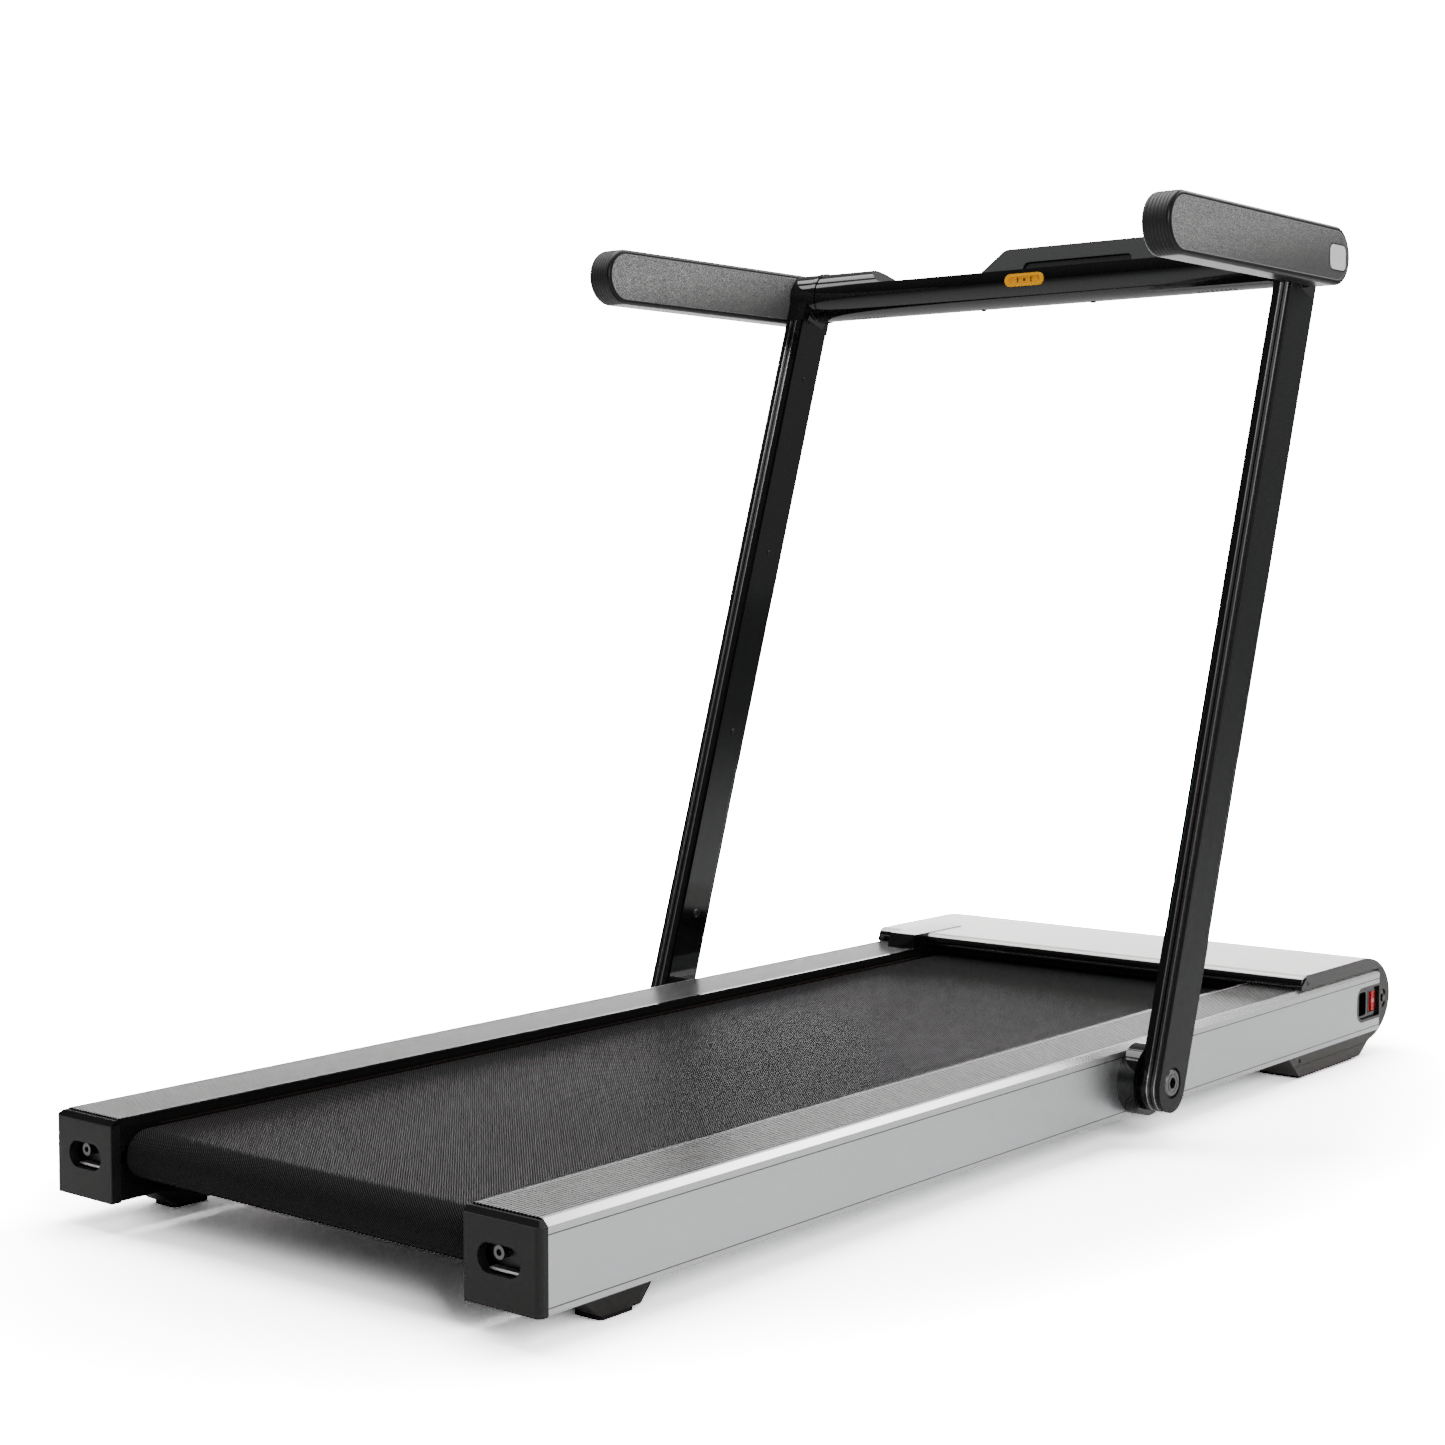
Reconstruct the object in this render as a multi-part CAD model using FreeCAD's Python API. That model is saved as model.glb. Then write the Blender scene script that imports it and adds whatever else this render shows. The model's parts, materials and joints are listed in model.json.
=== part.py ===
"""Slim folding treadmill with a flat deck, two leaning posts, a console bar and folding handrails.

Frame: +X to the walker's right, +Y from the rear roller to the motor, +Z up, millimetres.
Lengths along Y are measured from the rear end caps and heights from the floor. write() then
moves every solid so that the origin lies on the floor, in the middle of the whole machine.
"""
import FreeCAD, Part
import math
import os

V = FreeCAD.Vector
os.makedirs("parts", exist_ok=True)

# ---------------------------------------------------------------- driving dimensions
LENGTH = 1503.0          # rear caps to the tip of the nose
HALF_WIDTH = 300.0       # outer face of a side rail
RAIL_WIDTH = 80.0
RAIL_TOP = 102.0
RAIL_BOTTOM = 28.0
RAIL_REAR = 10.0
RAIL_FRONT = 1471.0
RAIL_WALL = 2.5
RAIL_CHAMFER = 5.7
RIB_COUNT = 17
RIB_PITCH = 4.0
RIB_DEPTH = 0.8
RAIL_INNER = HALF_WIDTH - RAIL_WIDTH
SIDE_LINES = (33.0, 89.5)    # heights of the two shadow lines along a rail's outer face
LINE_WIDE = 0.9
LINE_DEEP = 0.5

BELT_HALF = 210.0
BELT_THICK = 2.2
BELT_TOP = 91.0
ROLLER_R = 19.5
FIT_GAP = 0.3            # air between a moving piece and its neighbour
RUN_GAP = 0.05           # radial clearance of a running fit
BELT_OUT_R = ROLLER_R + FIT_GAP + BELT_THICK
ROLLER_Z = BELT_TOP - BELT_OUT_R
REAR_ROLLER_Y = 31.5
FRONT_ROLLER_Y = 1302.0
AXLE_R = 7.5
AXLE_HALF = 272.0
ROLLER_HALF = 205.0
ROLLER_WALL = 2.0
TAKE_UP_X = 252.5
TAKE_UP_SHIFT = -515.0    # right take-up parts to the left ones, which are not mirrored
TAKE_UP_R = 4.0

DECK_THICK = 15.0
DECK_TOP = BELT_TOP - BELT_THICK - FIT_GAP
DECK_HALF = 214.0
DECK_REAR = 60.0
DECK_FRONT = 1262.0
CROSS_YS = (150.0, 480.0, 810.0, 1140.0)
CROSS_TOP = 69.0
CROSS_BOTTOM = 53.0

COVER_TOP = 118.5
COVER_REAR = 1266.0
COVER_SKIN = 2.5
NOSE_Y = 1431.0          # centre of the half ellipse that shapes the nose
NOSE_Z = 68.0
NOSE_LONG = LENGTH - NOSE_Y
NOSE_HIGH = COVER_TOP - NOSE_Z
CAP_INNER = 290.0
CAP_OUTER = 298.5
PLATE_FRONT = 1462.0     # where the light cover plate meets the dark nose
PLATE_HALF = 297.2
POD_HIGH = 17.5

PULLEY_IN = 211.2
PULLEY_OUT = 218.8
ROLLER_PULLEY_R = 30.0
MOTOR_PULLEY_R = 10.0
MOTOR_Y = 1410.0
MOTOR_Z = 66.5
MOTOR_R = 38.0
MOTOR_LEFT = 45.0
MOTOR_RIGHT = 195.0
SHAFT_R = 6.0

PIVOT_Y = 884.5
PIVOT_Z = 65.0
POST_LEAN = 18.07        # degrees forward of upright
POST_REACH = 900.0       # fold pivot to console bar axis
POST_HALF = 26.0
POST_FOOT = 4.5          # the rounded foot is centred this far below the pivot
POST_TOP = 862.0         # where the post meets its head
POST_IN = 318.3
CORE_IN = 327.5
CORE_OUT = 337.0
FACE_IN = 340.5
POST_OUT = 343.0
BOSS_R = 36.5
BOLT_R = 8.0
BOLT_HEAD_R = 14.0

BAR_R = 29.3
BAR_HALF = 306.0
BAR_Y = PIVOT_Y + POST_REACH * math.sin(math.radians(POST_LEAN))
BAR_Z = PIVOT_Z + POST_REACH * math.cos(math.radians(POST_LEAN))
FLAT_HALF = 210.0        # half length of the console's flat top
SCOOP_HALF = 236.0
FLAT_RISE = 11.7         # flat top above the bar axis
BAR_WALL = 2.5
KEY_HALF = 26.0
KEY_HIGH = 7.3
KEY_PROUD = 2.0
KEY_DEPTH = 6.0
KEY_RISE = -1.0
SCREW_X = 75.0           # the console's two underside screws
SCREW_R = 3.2

TRAY_HALF = 162.0
TRAY_SKIN = 3.0
TRAY_RECESS = 2.0
TRAY_SHELF_Z = 5.0
TRAY_BACK_Y = 80.0
TRAY_LEAN = 13.0
TRAY_HEIGHT = 49.5

RAIL_GRIP_R = 31.4       # half height of a handrail
GRIP_IN = 344.0
GRIP_OUT = 375.6
GRIP_REAR_Y = 828.5      # centre of a handrail's rear round end
PIN_R = 10.0
PANEL_INSET = 5.0
PANEL_DEPTH = 1.0

POCKET_REAR = 1409.0
POCKET_FRONT = 1475.0
POCKET_LOW = 42.5
POCKET_HIGH = 84.5
POCKET_FLOOR = 294.0
INLET = (1419.0, 1443.0, 47.0, 80.0)      # rear, front, low and high edge of the inlet's window
ROCKER = (1448.0, 1470.0, 50.0, 77.0)
ROCKER_PIVOT_X = 287.0
ROCKER_TIP = 9.0         # degrees; the rocker rests tipped to off
BREAKER_Y = 1485.0
BREAKER_Z = 64.0
BREAKER_R = 4.5

WHEEL_Y = 1452.0
WHEEL_Z = 25.0
WHEEL_R = 16.0
WHEEL_IN = 190.0
WHEEL_OUT = 206.0
WHEEL_PIN_R = 2.2
FORK_TOP = 46.0
WELL_TOP = 43.5


# ---------------------------------------------------------------- plain shape helpers
def box(x0, x1, y0, y1, z0, z1):
    return Part.makeBox(x1 - x0, y1 - y0, z1 - z0, V(x0, y0, z0))


def rod(axis, lo, hi, a, b, radius):
    """Cylinder along an axis; a and b are its place on the two other axes, in X, Y, Z order."""
    start = {"x": V(lo, a, b), "y": V(a, lo, b), "z": V(a, b, lo)}[axis]
    along = {"x": V(1, 0, 0), "y": V(0, 1, 0), "z": V(0, 0, 1)}[axis]
    return Part.makeCylinder(radius, hi - lo, start, along)


def pipe(axis, lo, hi, a, b, outer, inner):
    return rod(axis, lo, hi, a, b, outer).cut(rod(axis, lo - 1, hi + 1, a, b, inner))


def rounded_wire(corners, place):
    """Closed outline through (u, v) or (u, v, radius) corners, each radius a tangent arc."""
    count = len(corners)
    pairs = []
    for i in range(count):
        here = V(corners[i][0], corners[i][1], 0)
        back = V(corners[i - 1][0], corners[i - 1][1], 0) - here
        ahead = V(corners[(i + 1) % count][0], corners[(i + 1) % count][1], 0) - here
        radius = corners[i][2] if len(corners[i]) > 2 else 0.0
        if radius == 0.0:
            pairs.append((here, None, here))
            continue
        back.normalize()
        ahead.normalize()
        half = back.getAngle(ahead) / 2
        run = radius / math.tan(half)
        middle = back + ahead
        middle.normalize()
        arc_mid = here + middle * (radius / math.sin(half) - radius)
        pairs.append((here + back * run, arc_mid, here + ahead * run))
    edges = []
    for i in range(count):
        start, mid, end = pairs[i]
        if mid is not None:
            edges.append(Part.Arc(place(start), place(mid), place(end)).toShape())
        following = pairs[(i + 1) % count][0]
        if end.distanceToPoint(following) > 1e-6:
            edges.append(Part.LineSegment(place(end), place(following)).toShape())
    return Part.Wire(edges)


def prism(axis, corners, lo, hi):
    """Rounded outline pushed along an axis. Corners are in the two other axes, in X, Y, Z order."""
    place = {"x": lambda p: V(lo, p.x, p.y), "y": lambda p: V(p.x, lo, p.y),
             "z": lambda p: V(p.x, p.y, lo)}[axis]
    along = {"x": V(hi - lo, 0, 0), "y": V(0, hi - lo, 0), "z": V(0, 0, hi - lo)}[axis]
    return Part.Face(rounded_wire(corners, place)).extrude(along)


def pill(axis, u0, u1, v0, v1, lo, hi):
    """Stadium whose round ends have half of its smaller side as radius."""
    radius = min(u1 - u0, v1 - v0) / 2 - 0.001
    return prism(axis, [(u0, v0, radius), (u1, v0, radius), (u1, v1, radius), (u0, v1, radius)], lo, hi)


def mirrored(shape):
    return shape.mirror(V(0, 0, 0), V(1, 0, 0))


def both_sides(shape):
    return [shape, mirrored(shape)]


def moved(shape, x):
    copy = shape.copy()
    copy.translate(V(x, 0, 0))
    return copy


def ellipse_prism(shrink, x0, x1):
    """Solid ellipse of the nose's side outline, shrunk evenly."""
    ring = Part.Ellipse(V(0, 0, 0), NOSE_LONG - shrink, NOSE_HIGH - shrink).toShape()
    face = Part.Face(Part.Wire([ring]))
    face.rotate(V(0, 0, 0), V(0, 1, 0), 90)
    face.rotate(V(0, 0, 0), V(1, 0, 0), 90)
    face.translate(V(x0, NOSE_Y, NOSE_Z))
    return face.extrude(V(x1 - x0, 0, 0))


def lean(shape):
    """Takes a post part drawn upright about the fold pivot to its leaning place."""
    shape.rotate(V(0, 0, 0), V(1, 0, 0), -POST_LEAN)
    shape.translate(V(0, PIVOT_Y, PIVOT_Z))
    return shape


def write(node, *solids):
    """Writes one node; several solids in a node stay separate solids."""
    shape = solids[0] if len(solids) == 1 else Part.makeCompound(list(solids))
    shape.translate(V(0, -LENGTH / 2, 0))
    shape.exportStep("parts/" + node + ".step")
    volume = sum(solid.Volume for solid in shape.Solids)
    valid = all(solid.isValid() for solid in shape.Solids)
    print("%-24s solids %2d  volume %10.0f  valid %s" % (node, len(shape.Solids), volume, valid))


def write_pair(node, shape):
    """A right-hand part and its mirror image as two nodes."""
    left = mirrored(shape)
    write(node + "_right", shape)
    write(node + "_left", left)


# ---------------------------------------------------------------- side rails and rear end
def rail_section():
    """Outline of a rail with its ribbed tread, inner groove and outer chamfer, in X and Z."""
    points = [(RAIL_INNER, RAIL_BOTTOM), (HALF_WIDTH, RAIL_BOTTOM)]
    for low in SIDE_LINES:
        points += [(HALF_WIDTH, low), (HALF_WIDTH - LINE_DEEP, low)]
        points += [(HALF_WIDTH - LINE_DEEP, low + LINE_WIDE), (HALF_WIDTH, low + LINE_WIDE)]
    points += [(HALF_WIDTH, RAIL_TOP - RAIL_CHAMFER), (HALF_WIDTH - RAIL_CHAMFER, RAIL_TOP)]
    first = RAIL_INNER + 4.0
    for i in reversed(range(RIB_COUNT)):
        left = first + i * RIB_PITCH
        right = left + RIB_PITCH * 0.45
        points += [(right, RAIL_TOP), (right, RAIL_TOP - RIB_DEPTH)]
        points += [(left, RAIL_TOP - RIB_DEPTH), (left, RAIL_TOP)]
    points.append((RAIL_INNER, RAIL_TOP))
    return points


def axle_slot(y0, y1):
    return box(RAIL_INNER - 1, RAIL_INNER + RAIL_WALL + 1, y0, y1, ROLLER_Z - AXLE_R, ROLLER_Z + AXLE_R)


def rail():
    body = prism("y", rail_section(), RAIL_REAR, RAIL_FRONT)
    hollow = [(RAIL_INNER + RAIL_WALL, RAIL_BOTTOM + RAIL_WALL),
              (HALF_WIDTH - RAIL_WALL, RAIL_BOTTOM + RAIL_WALL),
              (HALF_WIDTH - RAIL_WALL, RAIL_TOP - RAIL_CHAMFER - 2),
              (HALF_WIDTH - RAIL_CHAMFER - 2, RAIL_TOP - RAIL_WALL - RIB_DEPTH),
              (RAIL_INNER + RAIL_WALL, RAIL_TOP - RAIL_WALL - RIB_DEPTH)]
    body = body.cut(prism("y", hollow, RAIL_REAR - 1, RAIL_FRONT + 1))
    body = body.cut(axle_slot(RAIL_REAR - 1, REAR_ROLLER_Y + 20))
    body = body.cut(axle_slot(FRONT_ROLLER_Y - AXLE_R, FRONT_ROLLER_Y + AXLE_R))
    return body.cut(rod("x", HALF_WIDTH - 5, HALF_WIDTH + 1, PIVOT_Y, PIVOT_Z, BOLT_R))


def pocket(grow, x0, x1):
    """Switch pocket outline, open to the front."""
    low, high, rear = POCKET_LOW - grow, POCKET_HIGH + grow, POCKET_REAR - grow
    front = POCKET_FRONT + grow
    radius = 14.0
    corners = [(rear, low, radius), (front, low, 2.0), (front, high, 2.0), (rear, high, radius)]
    return prism("x", corners, x0, x1)


def rear_cap():
    """Moulded end cap: bevelled top, rounded outer edge and a slot that shows the take-up bolt."""
    inner, outer = RAIL_INNER - 0.5, HALF_WIDTH
    plate = prism("z", [(inner, 0, 1.0), (outer, 0, 5.0), (outer, RAIL_REAR), (inner, RAIL_REAR)],
                  RAIL_BOTTOM - 1, RAIL_TOP - 1)
    bevel = prism("x", [(-1, RAIL_TOP - 7), (-1, RAIL_TOP), (6, RAIL_TOP)], inner - 1, outer + 1)
    corner = prism("y", [(outer - RAIL_CHAMFER, RAIL_TOP), (outer + 1, RAIL_TOP),
                         (outer + 1, RAIL_TOP - RAIL_CHAMFER - 1)], -1, RAIL_REAR + 1)
    spigot = box(RAIL_INNER + 3, HALF_WIDTH - 3, RAIL_REAR, RAIL_REAR + 12, RAIL_BOTTOM + 3, RAIL_TOP - 8.5)
    spigot = spigot.cut(box(RAIL_INNER + 6, HALF_WIDTH - 6, RAIL_REAR - 1, RAIL_REAR + 13,
                            RAIL_BOTTOM + 6, RAIL_TOP - 11.5))
    spigot = spigot.cut(box(RAIL_INNER, RAIL_INNER + 10, RAIL_REAR, RAIL_REAR + 13, 55, 84))
    slot = pill("y", 234.5, 280.5, 53.0, 77.0, -1, RAIL_REAR + 1)
    return plate.fuse(spigot).cut(bevel).cut(corner).cut(slot).removeSplitter()


def take_up_plate():
    """Thrust plate behind the cap's slot, with the take-up bolt's hole and a second fixing hole."""
    plate = box(231.0, 288.0, 14.0, 18.0, 46.0, 84.0)
    plate = plate.cut(rod("y", 13, 19, TAKE_UP_X, ROLLER_Z, TAKE_UP_R + RUN_GAP))
    lip = box(242.0, 273.0, 6.0, 14.0, 54.5, 56.5)
    return plate.cut(rod("y", 13, 19, 272.5, ROLLER_Z, 2.6)).fuse(lip)


def take_up_bolt():
    head = rod("y", 5.5, 13.7, TAKE_UP_X, ROLLER_Z, 5.6)
    corners = [(TAKE_UP_X + 3.0 * math.cos(math.radians(60 * i)),
                ROLLER_Z + 3.0 * math.sin(math.radians(60 * i))) for i in range(6)]
    head = head.cut(prism("y", corners, 4.0, 10.0))
    return head.fuse(rod("y", 13.7, 64.0, TAKE_UP_X, ROLLER_Z, TAKE_UP_R))


def axle(y):
    return rod("x", -AXLE_HALF, AXLE_HALF, y, ROLLER_Z, AXLE_R)


def rear_axle():
    shaft = axle(REAR_ROLLER_Y)
    for x in (TAKE_UP_X, TAKE_UP_X + TAKE_UP_SHIFT):
        shaft = shaft.cut(rod("y", REAR_ROLLER_Y - 20, REAR_ROLLER_Y + 20, x, ROLLER_Z, TAKE_UP_R + RUN_GAP))
    return shaft


# ---------------------------------------------------------------- rollers, belt and deck
def roller(y):
    return pipe("x", -ROLLER_HALF, ROLLER_HALF, y, ROLLER_Z, ROLLER_R, ROLLER_R - ROLLER_WALL)


def bearings(y):
    ring = pipe("x", ROLLER_HALF - 14, ROLLER_HALF - 2, y, ROLLER_Z, ROLLER_R - ROLLER_WALL, AXLE_R + RUN_GAP)
    return both_sides(ring)


def roller_pulley():
    """Grooved pulley on the front roller's right end, with the hub that carries it."""
    wheel = pipe("x", PULLEY_IN, PULLEY_OUT, FRONT_ROLLER_Y, ROLLER_Z, ROLLER_PULLEY_R, AXLE_R + 1)
    for i in range(3):
        middle = PULLEY_IN + 1.9 + i * 1.9
        wheel = wheel.cut(pipe("x", middle - 0.4, middle + 0.4, FRONT_ROLLER_Y, ROLLER_Z,
                               ROLLER_PULLEY_R + 1, ROLLER_PULLEY_R - 1))
    hub = pipe("x", ROLLER_HALF, PULLEY_IN, FRONT_ROLLER_Y, ROLLER_Z, 16.0, AXLE_R + 1)
    return wheel.fuse(hub)


def loop(x0, x1, centres, radii, thickness):
    """Closed belt around two rollers; radii are those of its inner face."""
    (ya, za), (yb, zb) = centres
    ra, rb = radii
    outer = hull_of_circles(x0, x1, ya, za, ra + thickness, yb, zb, rb + thickness)
    return outer.cut(hull_of_circles(x0 - 1, x1 + 1, ya, za, ra, yb, zb, rb))


def hull_of_circles(x0, x1, ya, za, ra, yb, zb, rb):
    """Two circles and the tangents that join them, as one solid."""
    span = math.hypot(yb - ya, zb - za)
    heading = math.atan2(zb - za, yb - ya)
    spread = math.acos((ra - rb) / span)
    points = []
    for radius, y, z, sign in ((ra, ya, za, 1), (rb, yb, zb, 1), (rb, yb, zb, -1), (ra, ya, za, -1)):
        angle = heading + sign * spread
        points.append((y + radius * math.cos(angle), z + radius * math.sin(angle)))
    web = prism("x", points, x0, x1)
    return web.fuse(rod("x", x0, x1, ya, za, ra)).fuse(rod("x", x0, x1, yb, zb, rb)).removeSplitter()


def walking_belt():
    centres = ((REAR_ROLLER_Y, ROLLER_Z), (FRONT_ROLLER_Y, ROLLER_Z))
    inner = ROLLER_R + FIT_GAP
    return loop(-BELT_HALF, BELT_HALF, centres, (inner, inner), BELT_THICK)


def drive_belt():
    centres = ((FRONT_ROLLER_Y, ROLLER_Z), (MOTOR_Y, MOTOR_Z))
    return loop(PULLEY_IN + 0.6, PULLEY_OUT - 0.6, centres,
                (ROLLER_PULLEY_R + FIT_GAP, MOTOR_PULLEY_R + FIT_GAP), 1.8)


def deck_board():
    corners = [(-DECK_HALF, DECK_REAR, 3), (DECK_HALF, DECK_REAR, 3), (DECK_HALF, DECK_FRONT, 3),
               (-DECK_HALF, DECK_FRONT, 3)]
    return prism("z", corners, DECK_TOP - DECK_THICK, DECK_TOP)


def cross_member(y):
    tube = box(-RAIL_INNER, RAIL_INNER, y - 15, y + 15, CROSS_BOTTOM, CROSS_TOP)
    return tube.cut(box(-RAIL_INNER - 1, RAIL_INNER + 1, y - 13, y + 13, CROSS_BOTTOM + 2, CROSS_TOP - 2))


def deck_cushions():
    pads = []
    for y in CROSS_YS:
        for x in (-190.0, 190.0):
            pads.append(rod("z", CROSS_TOP, DECK_TOP - DECK_THICK, x, y, 11.0))
    return pads


# ---------------------------------------------------------------- feet and wheels
def rear_foot():
    top, low = RAIL_BOTTOM, 5.0
    return prism("x", [(56, top), (88, low, 3), (134, low, 3), (155, top)], 245.0, 283.0)


def rear_foot_pad():
    return prism("z", [(249, 91, 4), (279, 91, 4), (279, 131, 4), (249, 131, 4)], 0.0, 5.0)


def front_foot():
    """Long fairing under the rail's front end."""
    outline = [(1234, RAIL_BOTTOM), (1262, 3, 6), (1420, 3, 8), (1446, 18.6), (1446, RAIL_BOTTOM)]
    fairing = prism("x", outline, 238.0, CAP_OUTER)
    seam = box(CAP_OUTER - 0.6, CAP_OUTER + 1, 1240, 1450, 15.6, 16.4)
    return fairing.cut(seam).cut(rod("x", CAP_OUTER - 8, CAP_OUTER + 1, 1262, 21.5, 2.6))


def front_foot_pad():
    return prism("z", [(244, 1268, 4), (294, 1268, 4), (294, 1412, 4), (244, 1412, 4)], 0.0, 3.0)


def wheel():
    tyre = pipe("x", WHEEL_IN, WHEEL_OUT, WHEEL_Y, WHEEL_Z, WHEEL_R, WHEEL_PIN_R + RUN_GAP)
    for x0, x1 in ((WHEEL_IN - 1, WHEEL_IN + 3), (WHEEL_OUT - 3, WHEEL_OUT + 1)):
        tyre = tyre.cut(pipe("x", x0, x1, WHEEL_Y, WHEEL_Z, 12.0, 7.0))
    return tyre


def wheel_fork():
    """Saddle over a wheel, with the wheel's pin pressed in; its cheeks stand inside the nose."""
    fork = box(WHEEL_IN - 5, WHEEL_OUT + 5, WHEEL_Y - 9, WHEEL_Y + 9, 15.0, FORK_TOP)
    fork = fork.cut(box(WHEEL_IN - 0.6, WHEEL_OUT + 0.6, WHEEL_Y - 20, WHEEL_Y + 20, 0.0, WELL_TOP))
    fork = fork.common(ellipse_prism(3.0, WHEEL_IN - 6, WHEEL_OUT + 6))
    return fork.fuse(rod("x", WHEEL_IN - 5, WHEEL_OUT + 5, WHEEL_Y, WHEEL_Z, WHEEL_PIN_R))


def wheel_well():
    return box(WHEEL_IN - 2, WHEEL_OUT + 2, WHEEL_Y - 19, WHEEL_Y + 19, 0.0, WELL_TOP)


# ---------------------------------------------------------------- motor bay
def ellipse_shell(x0, x1):
    return ellipse_prism(0.0, x0, x1).cut(ellipse_prism(3.0, x0 - 1, x1 + 1))


def nose_shell():
    shell = ellipse_shell(-CAP_INNER, CAP_INNER)
    shell = shell.cut(box(-400, 400, 1300, 1446, 0, 140)).cut(box(-400, 400, 1300, PLATE_FRONT, NOSE_Z, 140))
    for side in both_sides(rail_keep_out()):
        shell = shell.cut(side)
    for side in both_sides(wheel_well()):
        shell = shell.cut(side)
    return shell.removeSplitter()


def rail_keep_out():
    return box(RAIL_INNER, HALF_WIDTH + 1, 0, RAIL_FRONT, RAIL_BOTTOM, RAIL_TOP)


def pod_form():
    """Small housing on the left rail, its rear face slightly askew."""
    outline = [(-260, 1228, 6), (-222, 1237, 8), (-222, 1345), (-260, 1345)]
    return prism("z", outline, RAIL_TOP, RAIL_TOP + POD_HIGH)


def cover_skin():
    """The light plate before anything is cut from it."""
    top = box(-PLATE_HALF, PLATE_HALF, COVER_REAR + 9, NOSE_Y, COVER_TOP - COVER_SKIN, COVER_TOP)
    roll = pipe("x", -PLATE_HALF, PLATE_HALF, COVER_REAR + 9, COVER_TOP - 9, 9.0, 9.0 - COVER_SKIN)
    roll = roll.common(box(-PLATE_HALF, PLATE_HALF, COVER_REAR, COVER_REAR + 9, COVER_TOP - 10, COVER_TOP))
    front = ellipse_prism(0.0, -PLATE_HALF, PLATE_HALF).cut(ellipse_prism(COVER_SKIN, -400, 400))
    front = front.common(box(-PLATE_HALF, PLATE_HALF, NOSE_Y, PLATE_FRONT, NOSE_Z, 140))
    return top.fuse(roll).fuse(front)


def cover_plate():
    """Light plate with a rolled rear edge; its front follows the nose."""
    return cover_skin().cut(pod_form()).removeSplitter()


def cover_apron():
    """Gloss black wall below the rolled edge, with a thin bead, down to just above the belt."""
    apron = box(-RAIL_INNER + 0.5, RAIL_INNER - 0.5, 1276, 1279, BELT_TOP + 2, RAIL_TOP)
    upper = box(-CAP_INNER, CAP_INNER, 1276, 1279, RAIL_TOP, COVER_TOP - COVER_SKIN)
    bead = rod("x", -CAP_INNER, CAP_INNER, 1276.5, RAIL_TOP + 2.2, 1.6)
    foot = box(-CAP_INNER, CAP_INNER, 1279, 1290, RAIL_TOP, RAIL_TOP + 2)
    foot = foot.cut(box(-RAIL_INNER, RAIL_INNER, 1270, 1300, 90, 120))
    return apron.fuse(upper).fuse(bead).fuse(foot).removeSplitter()


def cap_outline():
    """Side outline of an end cap: slanted rear, flat top, then the nose's half ellipse."""
    upper = prism("x", [(1264, RAIL_TOP), (1266, RAIL_TOP + 5, 3), (1281, COVER_TOP, 9), (NOSE_Y, COVER_TOP),
                        (NOSE_Y, RAIL_TOP)], CAP_INNER, CAP_OUTER)
    round_end = ellipse_prism(0.0, CAP_INNER, CAP_OUTER).cut(box(0, 400, 1300, NOSE_Y, 0, 140))
    return upper.fuse(round_end)


def end_cap():
    cap = cap_outline().cut(box(0, 400, 1200, 1446, 0, RAIL_BOTTOM)).cut(rail_keep_out()).cut(cover_skin())
    return cap.cut(box(CAP_INNER - 1, CAP_INNER + 3, 1470, 1494, 36, 96)).removeSplitter()


def end_cap_right():
    cap = end_cap().cut(pocket(0.0, POCKET_FLOOR - 10, HALF_WIDTH + 1))
    return cap.cut(pill("x", 1478, 1492, 53, 75, CAP_INNER - 1, HALF_WIDTH))


def receiver_pod():
    """Small gloss housing that stands on the left rail beside the cover."""
    slope = prism("x", [(1220, RAIL_TOP - 1), (1231, RAIL_TOP), (1241, RAIL_TOP + 20), (1220, RAIL_TOP + 20)],
                  -280, -210)
    return pod_form().cut(slope).cut(cover_apron())


def belly_pan():
    floor = box(-RAIL_INNER, RAIL_INNER, 1265, 1446, 18.6, 21.0)
    wall = box(-RAIL_INNER, RAIL_INNER, 1265, 1267.4, 21.0, 44.0)
    side = box(RAIL_INNER - 2.4, RAIL_INNER, 1267.4, 1446, 21.0, 34.0)
    pan = floor.fuse(wall).fuse(side).fuse(mirrored(side))
    for well in both_sides(wheel_well()):
        pan = pan.cut(well)
    return pan.removeSplitter()


def motor_case():
    case = rod("x", MOTOR_LEFT, MOTOR_RIGHT, MOTOR_Y, MOTOR_Z, MOTOR_R)
    case = case.cut(rod("x", MOTOR_LEFT + 4, MOTOR_RIGHT - 4, MOTOR_Y, MOTOR_Z, 34.0))
    return case.cut(rod("x", 0, 220, MOTOR_Y, MOTOR_Z, SHAFT_R + RUN_GAP))


def motor_magnets():
    ring = pipe("x", MOTOR_LEFT + 20, MOTOR_RIGHT - 20, MOTOR_Y, MOTOR_Z, 34.0, 27.0)
    gap = box(0, 220, MOTOR_Y - 60, MOTOR_Y + 60, MOTOR_Z - 8, MOTOR_Z + 8)
    return ring.cut(gap).Solids


def motor_shaft():
    shaft = rod("x", 12.0, 219.0, MOTOR_Y, MOTOR_Z, SHAFT_R)
    core = rod("x", MOTOR_LEFT + 22, MOTOR_RIGHT - 22, MOTOR_Y, MOTOR_Z, 24.0)
    for i in range(8):
        angle = math.radians(45 * i)
        core = core.cut(rod("x", MOTOR_LEFT, MOTOR_RIGHT, MOTOR_Y + 22 * math.cos(angle),
                            MOTOR_Z + 22 * math.sin(angle), 3.0))
    return shaft.fuse(core)


def flywheel():
    disc = pipe("x", 18.0, 38.0, MOTOR_Y, MOTOR_Z, 34.0, SHAFT_R)
    return disc.cut(pipe("x", 17.0, 24.0, MOTOR_Y, MOTOR_Z, 28.0, 12.0))


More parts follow.
